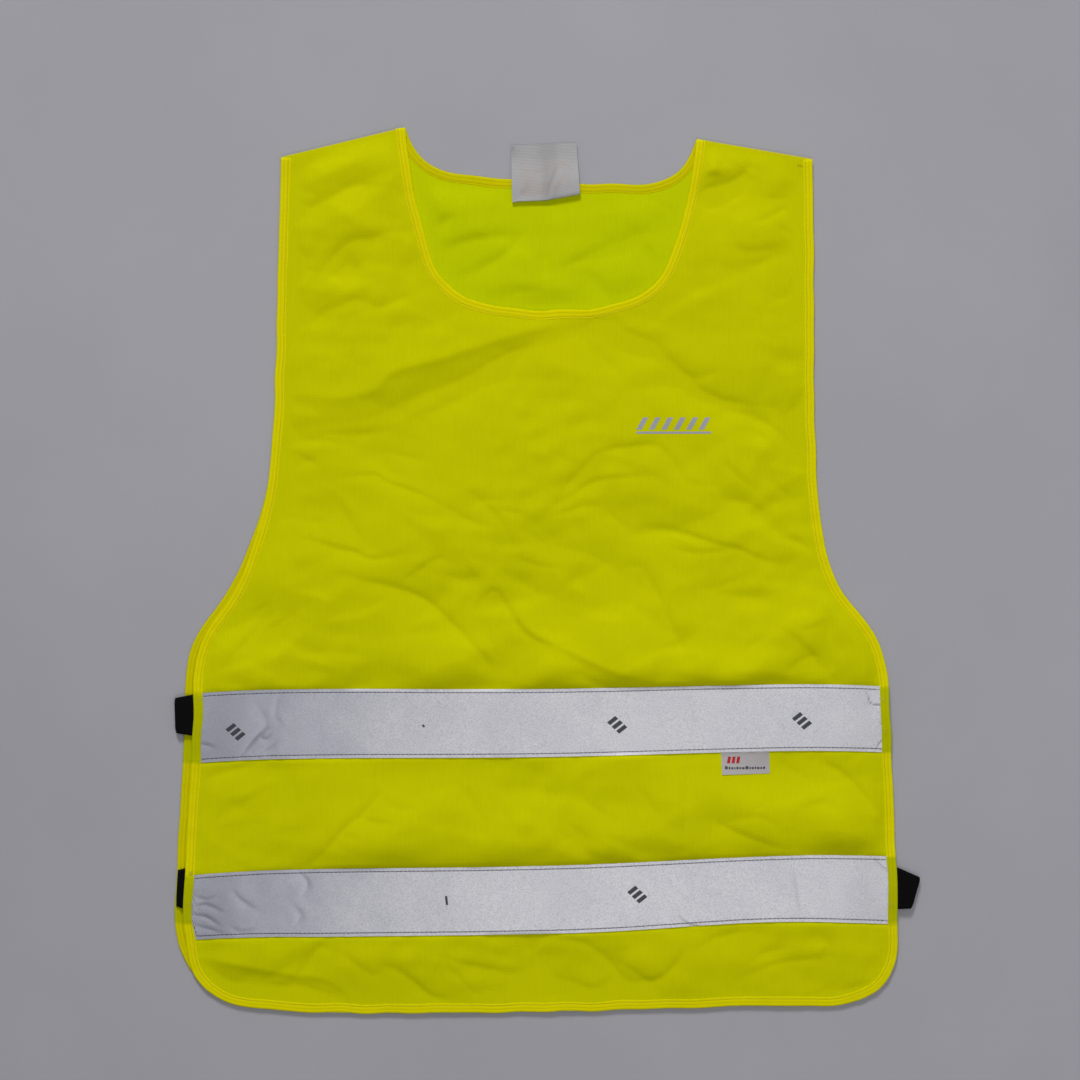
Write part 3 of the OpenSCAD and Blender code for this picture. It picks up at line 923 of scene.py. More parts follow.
class Lay:
    """How one panel lies: the height of the middle of its cloth at any point."""

    def __init__(self, side):
        self.side = side
        self.sign = 1 if side == "front" else -1
        lines = panel_lines(side)
        self.edge = smooth_line(lines["edge"], LINE_STEP)
        self.neck = smooth_line(lines["neck"], LINE_STEP)
        self.shoulders = np.vstack([
            smooth_line(lines[name], LINE_STEP) for name in ("left_shoulder", "right_shoulder")
        ])
        self.bands = [band_edges(f"{side}_{name}_tape") for name in ("upper", "lower")]

    def in_band(self, points):
        """Depth inside the nearer band's edges, negative outside."""
        depth = np.full(len(points), -1.0)
        for low, high in self.bands:
            above = points[:, 1] - np.interp(points[:, 0], *low)
            below = np.interp(points[:, 0], *high) - points[:, 1]
            depth = np.maximum(depth, np.minimum(above, below))
        return depth

    def over_band(self, points):
        """For each band, the distances above its upper edge and below its lower edge."""
        above = [points[:, 1] - np.interp(points[:, 0], *high) for low, high in self.bands]
        below = [np.interp(points[:, 0], *low) - points[:, 1] for low, high in self.bands]
        return above, below

    def puckers(self, points, edge, neck, depth):
        """Fine gathers that the stitches make along the edge, the neck and the bands.
        Each has its rise, its run, two lengths of its waves and how soon it fades."""
        outside = np.where(depth < 0, 0.00016, 0.0)
        total = 0
        for rise, run, pitch, sway, drift, away, fade in (
            (0.00022, edge[1], 0.0021, 3, 0.031, edge[0], 0.007),
            (0.0002, neck[1], 0.0017, 2, 0.02, neck[0], 0.006),
            (outside, points[:, 0], 0.0022, 2, 0.03, np.abs(depth), 0.005),
        ):
            total += rise * np.sin(run / pitch + sway * np.sin(run / drift)) * np.exp(-away / fade)
        return total

    def back_heights(self, points, to_neck, to_seam, rest):
        """The back lies flat, but for the slack cloth that is seen inside the front's neck."""
        crumple = 0.0003 * facets(points, 0.03, 16) + 0.0003 * slanted_facets(points, 30)
        folds = (fold_heights(points, BACK_FOLDS) + crumple) * sizes().fold_depth
        rise = 0.0013 * (1 - ease(to_seam, 0.0, 0.012))
        opening = smooth_line(panel_lines("front")["neck"], LINE_STEP)
        seen = inside(points, opening) * ease(nearest(points, opening)[0], 0.004, 0.02)
        slack = seen * ease(to_neck, 0.006, 0.024)
        under_label = np.exp(-((points[:, 0] / 0.034) ** 4)) * (1 - ease(to_neck, 0.036, 0.056))
        slack *= 1 - 0.7 * under_label
        return np.maximum(0.00095 + rest + rise + (0.0014 + 2.2 * folds) * slack, 0.0008)

    def crumples(self, points):
        """Folds of the front, and its facets, which are strongest across its middle."""
        middle = np.exp(-(((points[:, 1] + 0.02) / 0.11) ** 2))
        share = 0.6 + 0.4 * ease(swell(points, 0.3, 17) + 1.2 * middle, -0.3, 1.2)
        crumple = 0.0011 * facets(points, 0.042, 18) + 0.0006 * facets(points, 0.019, 19)
        for degrees in (20, -24):
            crumple += 0.0011 * slanted_facets(points, degrees)
        return (fold_heights(points, FRONT_FOLDS) + crumple * share) * sizes().fold_depth

    def puffs(self, points):
        """The front stands up above each band and dips a little below it."""
        slack = 0.35 + 0.65 * ease(points[:, 0], -0.19, -0.12)
        slack = slack * (0.85 + 0.3 * swell(points, 0.07, 15))
        total = np.zeros(len(points))
        for above, below, reach in zip(*self.over_band(points), (0.014, 0.022)):
            over, under = np.maximum(above, 0), np.maximum(below, 0)
            total += 0.48 * reach * slack * np.tanh(over / reach) * np.exp(-((over / 0.042) ** 2))
            total -= 0.0005 * (1 - np.exp(-under / 0.003)) * np.exp(-under / 0.03)
        return total

    def base(self, points, to_edge, to_neck):
        """The front sinks towards its edge and neck, and rises over the folded straps."""
        base = 0.0060 - 0.0035 * (1 - ease(to_edge, 0.003, 0.042))
        base -= 0.0019 * (1 - ease(to_neck, 0.003, 0.05))
        base = base - 0.0010 * ease(points[:, 1], -0.02, 0.12)
        for place in STRAPS.values():
            across = (points[:, 1] - place["y"]) / 0.026
            out = edge_at(self.edge, points[:, 1], place["side"]) * place["side"]
            away = (out - points[:, 0] * place["side"]) / 0.03
            base += 0.0026 * np.exp(-(across**2) - away**2)
        return base

    def heights(self, points):
        points = np.asarray(points, float)
        edge, neck = nearest(points, self.edge)[:2], nearest(points, self.neck)[:2]
        to_seam = nearest(points, self.shoulders)[0]
        depth = self.in_band(points)
        calm = 1 - 0.88 * ease(depth, -0.003, 0.002)
        fine = swell(points, 0.021, 13) * ease(swell(points, 0.16, 14), -0.4, 1.0)
        roll = swell(points, 0.13, 11) * 0.8 + swell(points, 0.055, 12) * 0.45 + fine * 0.42
        roll = sizes().swell * roll
        pucker = self.puckers(points, edge, neck, depth)
        if self.side == "back":
            rest = 0.4 * np.abs(roll) * calm + 0.4 * pucker
            return self.back_heights(points, neck[0], to_seam, rest)
        hem = ease(np.minimum(edge[0], neck[0]), 0.004, 0.016)
        loose = (roll + self.crumples(points)) * calm * (0.3 + 0.7 * hem)
        height = self.base(points, edge[0], neck[0]) + loose + self.puffs(points) * hem + pucker
        height = np.maximum(height, FRONT_LOWEST)
        return SEAM_HEIGHT + (height - SEAM_HEIGHT) * ease(to_seam, 0.0, 0.016)


# Side straps: the side they are on, the height of their middle and their half width, how far
# the upper and lower corners stand out, how much they narrow, and whether they are tucked in
STRAPS = {
    "left_upper_strap": {
        "side": -1, "y": -0.1068, "half": 0.0153, "reach": (0.0150, 0.0132),
        "taper": (0.0030, 0.0024), "tucked": False,
    },
    "left_lower_strap": {
        "side": -1, "y": -0.2346, "half": 0.0148, "reach": (0.0052, 0.0046),
        "taper": (0.0014, 0.0010), "tucked": True,
    },
    "right_upper_strap": {
        "side": 1, "y": -0.1070, "half": 0.0150, "reach": (-0.0012, -0.0012),
        "taper": (0.0010, 0.0010), "tucked": True,
    },
    "right_lower_strap": {
        "side": 1, "y": -0.2342, "half": 0.0155, "reach": (0.0186, 0.0114),
        "taper": (0.0082, 0.0004), "tucked": False,
    },
}


@functools.cache
def band_edges(node):
    """Lower and upper edges of a reflective band, each as (x, y) arrays in order of x.
    The lower front band is pulled up a little towards the wearer's left."""
    points = top_outline(node)
    if node == "front_lower_tape":
        lift = np.where(points[:, 1] < points[:, 1].mean(), 0.0036, 0.0016)
        points = points + np.stack([0 * lift, lift * ease(points[:, 0], 0.02, 0.19)], axis=1)
    middle_y = points[:, 1].mean()
    edges = []
    for sign in (-1, 1):
        part = points[(points[:, 1] - middle_y) * sign > 0]
        far = np.abs(points[:, 1] - middle_y).max() * 0.5
        part = part[np.abs(part[:, 1] - middle_y) > far]
        part = part[np.argsort(part[:, 0])]
        edges.append((part[:, 0], part[:, 1]))
    return edges


@functools.cache
def lay(side):
    return Lay(side)


# Meshes ---------------------------------------------------------------------------------


def new_piece(name, points, faces, finish, measures=None):
    """A mesh object with smooth faces and numbers held at its points."""
    mesh = bpy.data.meshes.new(name)
    mesh.from_pydata([tuple(p) for p in points], [], faces)
    mesh.materials.append(finish)
    for key, values in (measures or {}).items():
        made = mesh.attributes.new(key, "FLOAT", "POINT")
        made.data.foreach_set("value", np.asarray(values, np.float32))
    mesh.polygons.foreach_set("use_smooth", [True] * len(mesh.polygons))
    mesh.update()
    piece = bpy.data.objects.new(name, mesh)
    bpy.context.scene.collection.objects.link(piece)
    return piece


def reshape(piece, change):
    """Changes a piece's mesh as a bmesh."""
    shape = bmesh.new()
    shape.from_mesh(piece.data)
    change(shape)
    shape.to_mesh(piece.data)
    shape.free()


def thicken(piece, thickness):
    """Gives a sheet its thickness, with its rim's edges left sharp."""

    def change(sheet):
        bmesh.ops.recalc_face_normals(sheet, faces=sheet.faces)
        bmesh.ops.solidify(sheet, geom=sheet.faces[:], thickness=thickness)
        sheet.normal_update()

    reshape(piece, change)
    mesh = piece.data
    mesh.polygons.foreach_set("use_smooth", [True] * len(mesh.polygons))
    mesh.set_sharp_from_angle(angle=math.radians(SHARP_ANGLE))
    return piece


def grid_faces(rows, columns, first=0, closed=False):
    """Quads of a grid of points that is stored row by row."""
    across = columns if closed else columns - 1
    return [
        (
            first + r * columns + c,
            first + (r + 1) * columns + c,
            first + (r + 1) * columns + (c + 1) % columns,
            first + r * columns + (c + 1) % columns,
        )
        for r in range(rows - 1)
        for c in range(across)
    ]


def end_caps(rows, columns, first=0):
    """Faces that close the two ends of a tube whose points are stored ring by ring."""
    last = first + (rows - 1) * columns
    return [
        tuple(range(first, first + columns)),
        tuple(range(last + columns - 1, last - 1, -1)),
    ]


def settle(piece, side):
    """Makes a piece of the back move with the back; a piece of the front has its place baked into its
    mesh.
    """
    if side == "back":
        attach(piece, "back")
    else:
        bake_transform(piece)
    return piece


def cloth_sheet(side, cell):
    """The cut cloth of a panel as even triangles inside its outline, laid at its heights."""
    lines = panel_lines(side)
    rim = np.vstack([smooth_line(line, cell)[:-1] for line in lines.values()])
    low, high = rim.min(axis=0), rim.max(axis=0)
    rows = np.arange(low[1], high[1], cell * math.sqrt(3) / 2)
    columns = np.arange(low[0], high[0], cell)
    mesh_points = np.array([
        (x + (0.5 * cell if i % 2 else 0), y) for i, y in enumerate(rows) for x in columns
    ])
    mesh_points = mesh_points[inside(mesh_points, rim)]
    mesh_points = mesh_points[nearest(mesh_points, rim)[0] > 0.6 * cell]
    points = np.vstack([rim, mesh_points])
    made = delaunay_2d_cdt(
        [Vector(p) for p in points], [], [list(range(len(rim)))], 1, 1e-7
    )
    flat = np.array([v[:] for v in made[0]])
    cloth = lay(side)
    sunk = BAND_ROOM[side] * ease(cloth.in_band(flat), -0.0025, 0.002)
    points = np.column_stack([flat, cloth.heights(flat) - sunk * cloth.sign])
    piece = new_piece(side + "_cloth", points, [tuple(f) for f in made[2]], knit_finish(side))
    x, y = rim.T
    area = abs(np.sum(x * np.roll(y, -1) - y * np.roll(x, -1))) / 2
    return thicken(piece, sizes().cloth), high - low, area


def swept(name, line, profile, finish, measures=None):
    """A closed section carried along a line. The profile holds, for each point of the
    line, its section as (distance to the right, height) in the row frame."""
    sideways = inward(line[:, :2])
    rows, columns = profile.shape[:2]
    points = np.empty((rows, columns, 3))
    points[..., :2] = line[:, None, :2] + sideways[:, None] * profile[..., :1]
    points[..., 2] = line[:, None, 2] + profile[..., 1]
    faces = grid_faces(rows, columns, closed=True) + end_caps(rows, columns)
    run = np.repeat(run_lengths(line[:, :2]), columns)
    held = {"along": run, **(measures or {})}
    return new_piece(name, points.reshape(-1, 3), faces, finish, held)


# Section of a binding over one face of the cloth: share of its width, height in millimetres.
BINDING_SECTION = [
    (0.0, 0.0), (0.01, 0.22), (0.06, 0.46), (0.16, 0.62), (0.26, 0.66), (0.34, 0.60),
    (0.39, 0.53), (0.44, 0.60), (0.54, 0.66), (0.64, 0.62), (0.72, 0.52), (0.77, 0.38),
    (0.82, 0.50), (0.90, 0.57), (0.96, 0.50), (1.0, 0.24),
]
# Section of a shoulder's turned-in allowance, from the seam inwards: run, height in millimetres
ALLOWANCE_SECTION = [
    (-0.1, 0.1), (-0.35, 0.5), (-0.3, 0.9), (0.1, 1.0), (1.2, 0.85), (3.5, 0.7),
    (6.8, 0.6), (7.0, 0.3), (6.8, 0.12), (3.5, 0.1), (1.2, 0.05),
]


def binding(side, part):
    """The folded binding of a panel's edge or neck, drawn in a little by its stitches."""
    cloth = lay(side)
    line = smooth_line(panel_lines(side)[part], 0.0022)
    sideways = inward(line)
    width = sizes().binding * (1 + 0.03 * swell(line, 0.05, 21))
    kernel = np.hanning(7) / np.hanning(7).sum()
    shares = (0.08, 0.5, 1.05)
    levels = []
    for share in shares:
        heights = cloth.heights(line + sideways * (width * share - OVERHANG)[:, None])
        levels.append(np.convolve(np.pad(heights, 3, "edge"), kernel, "valid"))
    run = run_lengths(line)
    section = np.array(BINDING_SECTION)
    under = section[::-1][1:-1] * (1, -1)
    section = np.vstack([section, [(1.0, -0.24)], under])
    at_band = ease(cloth.in_band(line), -0.0004, 0.0006)
    wave = np.sin(run / 0.0011 + 2 * np.sin(run / 0.012)) * (0.6 + 0.4 * swell(line, 0.04, 22))
    inner = ease(section[:, 0], 0.35, 0.8)
    rise = section[None, :, 1] * MM * (1 + 0.16 * wave[:, None] * inner[None])
    top = np.sign(section[:, 1]) * ease(section[:, 0], 0.3, 0.6)
    rise = rise + 0.0003 * at_band[:, None] * np.maximum(top, 0)[None]
    level = np.array([np.interp(section[:, 0], shares, row) for row in np.transpose(levels)])
    wander = 0.00035 * swell(line, 0.03, 24) * ease(np.minimum(run, run[-1] - run), 0.004, 0.03)
    across = section[None, :, 0] * width[:, None]
    height = np.maximum(level + rise, 0.00005)
    profile = np.stack([across - OVERHANG + wander[:, None], height], axis=2)
    line3 = np.column_stack([line, np.zeros(len(line))])
    held = {"across": across.ravel(), "under": np.repeat(at_band, len(section))}
    name = f"{side}_{part}_binding_cloth"
    piece = swept(name, line3, profile, binding_finish(side), held)
    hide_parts(f"{side}_{part}_binding")
    return settle(piece, side)


def add_rod(points, faces, centres, radii, across, up):
    """Adds a closed rod of thread that runs through the centres, as rings of points."""
    turn = np.arange(ROD_SIDES) * 2 * math.pi / ROD_SIDES
    round_it = np.cos(turn)[:, None] * across + np.sin(turn)[:, None] * up
    start = len(points) * ROD_SIDES
    points += [centre + radius * round_it for centre, radius in zip(centres, radii)]
    faces += grid_faces(len(centres), ROD_SIDES, start, closed=True)
    faces += end_caps(len(centres), ROD_SIDES, start)


def tacks(name, lines, finish, radius):
    """Short straight threads."""
    points, faces = [], []
    for line in lines:
        way = line[-1] - line[0]
        way /= np.linalg.norm(way)
        across = np.array([-way[1], way[0], 0.0])
        add_rod(points, faces, line, [radius] * len(line), across, np.cross(way, across))
    return new_piece(name, np.vstack(points), faces, finish)


def thread_rows(name, rows, finish, radius, seed):
    """Stitches as small rounded thread lengths that dip into the cloth at their ends.
    Each row is a line of points with heights."""
    draw = np.random.default_rng(seed)
    sizing = sizes()
    step, show = sizing.stitch + sizing.stitch_gap, sizing.stitch
    stations = np.array([(-0.5, 0.35, -0.9), (-0.3, 1.0, 0.0), (0.3, 1.0, 0.0), (0.5, 0.35, -0.9)])
    points, faces = [], []
    for row in rows:
        run = run_lengths(row)
        for middle in np.arange(step * 0.6, run[-1] - step * 0.5, step):
            middle += draw.uniform(-0.06, 0.06) * step
            long = show * draw.uniform(0.93, 1.05)
            at = middle + stations[:, 0] * long
            spine = np.stack([np.interp(at, run, part) for part in row.T], axis=1)
            spine[:, 2] += stations[:, 2] * radius
            way = spine[-1] - spine[0]
            way /= np.linalg.norm(way)
            across = np.array([-way[1], way[0], 0.0])
            across /= np.linalg.norm(across)
            up = THREAD_FLATNESS * np.cross(way, across)
            add_rod(points, faces, spine, stations[:, 1] * radius, across, up)
    return new_piece(name, np.vstack(points), faces, finish)


def on_piece(name, points, lift, sign=1):
    """Flat points given the height of a made piece's outer face, plus a lift."""
    piece = bpy.data.objects[name]
    tree = BVHTree.FromPolygons(
        [v.co for v in piece.data.vertices], [f.vertices for f in piece.data.polygons]
    )
    heights = np.full(len(points), np.nan)
    for i, (x, y) in enumerate(points):
        hit = tree.ray_cast(Vector((x, y, sign)), Vector((0, 0, -sign)))[0]
        if hit:
            heights[i] = hit.z + lift * sign
    known = np.flatnonzero(~np.isnan(heights))
    return np.interp(np.arange(len(points)), known, heights[known])


# Reflective bands -----------------------------------------------------------------------


def band_points(side, node, columns, rows):
    """A grid of flat points over a band, with its ends run in under the bindings."""
    (low_x, low_y), (high_x, high_y) = band_edges(node)
    edge = lay(side).edge
    caught = 0.0032  # How much of a band is held under the binding
    under = sizes().binding - OVERHANG - caught
    u, v = np.linspace(0, 1, columns), np.linspace(0, 1, rows)
    middle = (low_y.mean() + high_y.mean()) / 2
    y_guess = middle + (v - 0.5) * 0.05
    left = edge_at(edge, y_guess, -1) + under
    right = edge_at(edge, y_guess, 1) - under
    x = left + (right - left) * u[:, None]
    y = np.interp(x, low_x, low_y) * (1 - v) + np.interp(x, high_x, high_y) * v
    return np.stack([x, y], axis=2)


def crease_wear_and_shade(points, creases):
    """How dark the creases are at each point, from 0 to 1: rubbed wear on the bands, painted shade on the
    neck label.
    """
    worn = np.zeros(len(points))
    for corners, _, width, dark in creases:
        if dark > 0:
            line = smooth_line(np.array(corners) * MM, 0.0003)
            near = np.all((points > line.min(0) - 0.01) & (points < line.max(0) + 0.01), axis=1)
            if near.any():
                distance, place, _ = nearest(points[near], line)
                fade = np.sin(math.pi * np.clip(place / run_lengths(line)[-1], 0.1, 0.9)) ** 0.5
                core = dark * fade * np.exp(-((distance / (width * 0.55 * MM)) ** 2))
                worn[near] = np.maximum(worn[near], core)
    return worn


def band_heights(side, points):
    """Height of a band's cloth: the panel's own, stiffened, with its creases."""
    cloth = lay(side)
    lift = (sizes().cloth / 2 + BAND_LIFT) * cloth.sign
    height = cloth.heights(points) + lift
    if side == "front":
        ripple = 0.00004 * swell(points, 0.014, 31) + 0.00006 * swell(points, 0.045, 32)
        seen = ease(nearest(points, cloth.edge)[0], 0.0045, 0.0075)
        height += (ripple + fold_heights(points, FRONT_CREASES)) * seen - 0.0003 * (1 - seen)
    return height


def band(side, name):
    node = f"{side}_{name}_tape"
    columns, rows = (440, 40) if side == "front" else (220, 20)
    flat = band_points(side, node, columns, rows)
    points = flat.reshape(-1, 2)
    heights = band_heights(side, points)
    worn = crease_wear_and_shade(points, FRONT_CREASES) if side == "front" else np.zeros(len(points))
    piece = new_piece(
        f"{side}_{name}_band",
        np.column_stack([points, heights]),
        grid_faces(columns, rows),
        silver_finish(),
        {"worn": worn, "hem": lay(side).in_band(points)},
    )
    thicken(piece, 0.00018)
    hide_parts(node)
    return settle(piece, side)


def band_rows(side):
    """Lines of the stitch rows along both edges of both bands."""
    lines = []
    for name in ("upper", "lower"):
        (low_x, low_y), (high_x, high_y) = band_edges(f"{side}_{name}_tape")
        edge = lay(side).edge
        for xs, ys, shift in ((low_x, low_y, STITCH_INSET), (high_x, high_y, -STITCH_INSET)):
            start = edge_at(edge, ys.mean(), -1) + sizes().binding - 0.0004
            end = edge_at(edge, ys.mean(), 1) - sizes().binding + 0.0004
            x = np.linspace(start, end, 220)
            line = np.column_stack([x, np.interp(x, xs, ys) + shift])
            height = on_piece(f"{side}_{name}_band", line, 0.00006, lay(side).sign)
            lines.append(np.column_stack([line, height]))
    return lines


# Flat prints ----------------------------------------------------------------------------


def patch(corners, cell):
    """A four-cornered flat shape as a grid of points and its faces."""
    a, b, c, d = (np.asarray(p, float) for p in corners)
    columns = max(2, round(np.linalg.norm(b - a) / cell) + 1)
    rows = max(2, round(np.linalg.norm(d - a) / cell) + 1)
    u, v = np.meshgrid(np.linspace(0, 1, columns), np.linspace(0, 1, rows), indexing="ij")
    u, v = u[..., None], v[..., None]
    points = (a * (1 - u) + b * u) * (1 - v) + (d * (1 - u) + c * u) * v
    return points.reshape(-1, 2), grid_faces(columns, rows)


def printed(name, shapes, height, finish, cell=0.0012, thickness=0.00006):
    """Thin print in the given four-cornered shapes, laid at the given heights."""
    points, faces = [], []
    for corners in shapes:
        flat, quads = patch(corners, cell)
        faces += [tuple(i + len(points) for i in quad) for quad in quads]
        points += flat.tolist()
    points = np.array(points)
    piece = new_piece(name, np.column_stack([points, height(points)]), faces, finish)
    return thicken(piece, thickness)


def bar(width, height, lean=0.0, at=(0.0, 0.0)):
    """Corners of a bar that leans to the right, from its lower left, about its middle."""
    x, y = at
    w, h, s = width / 2, height / 2, lean / 2
    return [(x - w - s, y - h), (x + w - s, y - h), (x + w + s, y + h), (x - w + s, y + h)]


# Middle of each mark on a band, and how many of its bars are left
BAND_MARKS = {
    "upper": [
        ((-0.228, -0.119), 3), ((-0.0898, -0.1146), 0), ((0.0528, -0.1138), 3),
        ((0.1888, -0.1109), 3),
    ],
    "lower": [((-0.0728, -0.2431), 1), ((0.0676, -0.2387), 3)],
}


def band_mark_shapes(name):
    """Three slanting bars at each mark, fewer where it has worn off."""
    shapes = []
    for centre, count in BAND_MARKS[name]:
        if count == 0:
            shapes.append(turned(bar(0.0016, 0.0022), centre, 45))
        elif count == 1:
            shapes.append(turned(bar(0.0018, 0.0066, 0.0006), centre, 12))
        else:
            for step in (-1, 0, 1):
                shapes.append(turned(bar(0.0030, 0.0076, 0.0012, (step * 0.0046, 0)), centre, -43))
    return shapes


# Operators ------------------------------------------------------------------------------


class VEST_OT_stage(bpy.types.Operator):
    """Floor, camera and soft lights"""

    bl_idname = "vest.stage"
    bl_label = "Stage"

    def area_light(self, name, power, size, place, aim=(0, 0, 0)):
        lamp = bpy.data.lights.new(name, "AREA")
        lamp.energy, lamp.shape, lamp.size = power, "DISK", size
        holder = bpy.data.objects.new(name, lamp)
        holder.location = place
        holder.rotation_euler = (Vector(aim) - Vector(place)).to_track_quat("-Z", "Y").to_euler()
        bpy.context.scene.collection.objects.link(holder)

    def execute(self, context):
        scene, setup = context.scene, context.scene.vest_stage
        half = FLOOR_HALF
        floor = new_piece(
            "floor",
            [(-half, -half, 0), (half, -half, 0), (half, half, 0), (-half, half, 0)],
            [(0, 1, 2, 3)],
            floor_finish(),
        )
        lens = bpy.data.cameras.new("camera")
        lens.sensor_width = 36
        lens.lens = lens.sensor_width * setup.camera_height / setup.view_width
        lens.clip_end = 20
        camera = bpy.data.objects.new("camera", lens)
        camera.location = (setup.view_x, setup.view_y, setup.camera_height)
        scene.collection.objects.link(camera)
        scene.camera = camera
        self.area_light("key", setup.key, 1.0, (-0.5, 3.2, 2.1), (0, 0.1, 0))
        self.area_light("fill", setup.fill, 1.2, (1.3, -0.5, 1.5))
        self.area_light("top", setup.top, 0.6, (0.25, 0.25, 1.5), (0.1, 0.15, 0))
        self.area_light("glow", setup.glow, 0.7, (0.09, -0.74, 1.4), (0.02, -0.2, 0))
        world = bpy.data.worlds.new("room")
        world.use_nodes = True
        back = world.node_tree.nodes["Background"]
        back.inputs["Color"].default_value = (0.93, 0.95, 1.0, 1)
        back.inputs["Strength"].default_value = setup.sky
        scene.world = world
        scene.view_settings.view_transform = "Standard"
        return {"FINISHED"}


class VEST_OT_cloths(bpy.types.Operator):
    """The two knitted panels, laid with their folds"""

    bl_idname = "vest.cloths"
    bl_label = "Cloths"

    def execute(self, context):
        sizing = context.scene.vest_sizes
        for side, cell, below in (
            ("back", sizing.back_cell, "back_panel"), ("front", sizing.cell, "back_cloth")
        ):
            piece, extent, area = cloth_sheet(side, cell)
            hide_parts(side + "_panel")
            settle(piece, side)
        return {"FINISHED"}


class VEST_OT_bindings(bpy.types.Operator):
    """Folded bindings of the edges and the necklines"""

    bl_idname = "vest.bindings"
    bl_label = "Bindings"

    def execute(self, context):
        for side in ("back", "front"):
            for part in ("edge", "neck"):
                binding(side, part)
        return {"FINISHED"}


class VEST_OT_bands(bpy.types.Operator):
    """Reflective bands of the front and the back"""

    bl_idname = "vest.bands"
    bl_label = "Reflective bands"

    def execute(self, context):
        for side in ("back", "front"):
            for name in ("upper", "lower"):
                band(side, name)
        return {"FINISHED"}


class VEST_OT_band_marks(bpy.types.Operator):
    """Plain slanting bars printed on the front bands"""

    bl_idname = "vest.band_marks"
    bl_label = "Band marks"

    def execute(self, context):
        for name in BAND_MARKS:
            piece = printed(
                f"front_{name}_band_marks",
                band_mark_shapes(name),
                lambda points: on_piece(f"front_{name}_band", points, 0.00005),
                print_finish("band_print"),
                cell=0.0009,
            )
            settle(piece, "front")
        return {"FINISHED"}


class VEST_OT_stitching(bpy.types.Operator):
    """Rows of stitches on the bands and the bindings"""

    bl_idname = "vest.stitching"
    bl_label = "Stitching"

    def execute(self, context):
        radius = context.scene.vest_sizes.thread / 2
        for seed, side in enumerate(("back", "front")):
            cloth = lay(side)
            piece = thread_rows(
                f"{side}_band_stitches", band_rows(side), thread_finish("grey_thread"), radius, 40 + seed
            )
            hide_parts(f"{side}_tape_stitching")
            settle(piece, side)
            rows = []
            for part in ("edge", "neck"):
                line = smooth_line(panel_lines(side)[part], LINE_STEP)
                line = line + inward(line) * (context.scene.vest_sizes.binding * 0.78 - OVERHANG)
                heights = cloth.heights(line) + 0.00047 * cloth.sign
                rows.append(np.column_stack([line, heights]))
            piece = thread_rows(
                f"{side}_binding_stitches", rows, thread_finish("yellow_thread"), radius * 0.9, 50 + seed
            )
            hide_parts(f"{side}_binding_stitching")
            settle(piece, side)
        return {"FINISHED"}


class VEST_OT_shoulder_seams(bpy.types.Operator):
    """The joined shoulder edges with their turned-in allowance"""

    bl_idname = "vest.shoulder_seams"
    bl_label = "Shoulder seams"

    def execute(self, context):
        for side in ("left", "right"):
            line = smooth_line(panel_lines("back")[side + "_shoulder"], 0.002)
            heights = lay("back").heights(line)
            run = run_lengths(line)
            line3 = np.column_stack([line, heights])
            section = np.array(ALLOWANCE_SECTION) * MM
            wave = 1 + 0.12 * np.sin(run / 0.0011)[:, None] * ease(section[:, 0], 0.004, 0.007)
            profile = np.stack([
                np.broadcast_to(section[:, 0], (len(line), len(section))),
                section[None, :, 1] * wave,
            ], axis=2)
            piece = swept(side + "_shoulder_allowance", line3, profile, seam_finish())
            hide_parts(side + "_shoulder_seam")
            settle(piece, "back")
        return {"FINISHED"}


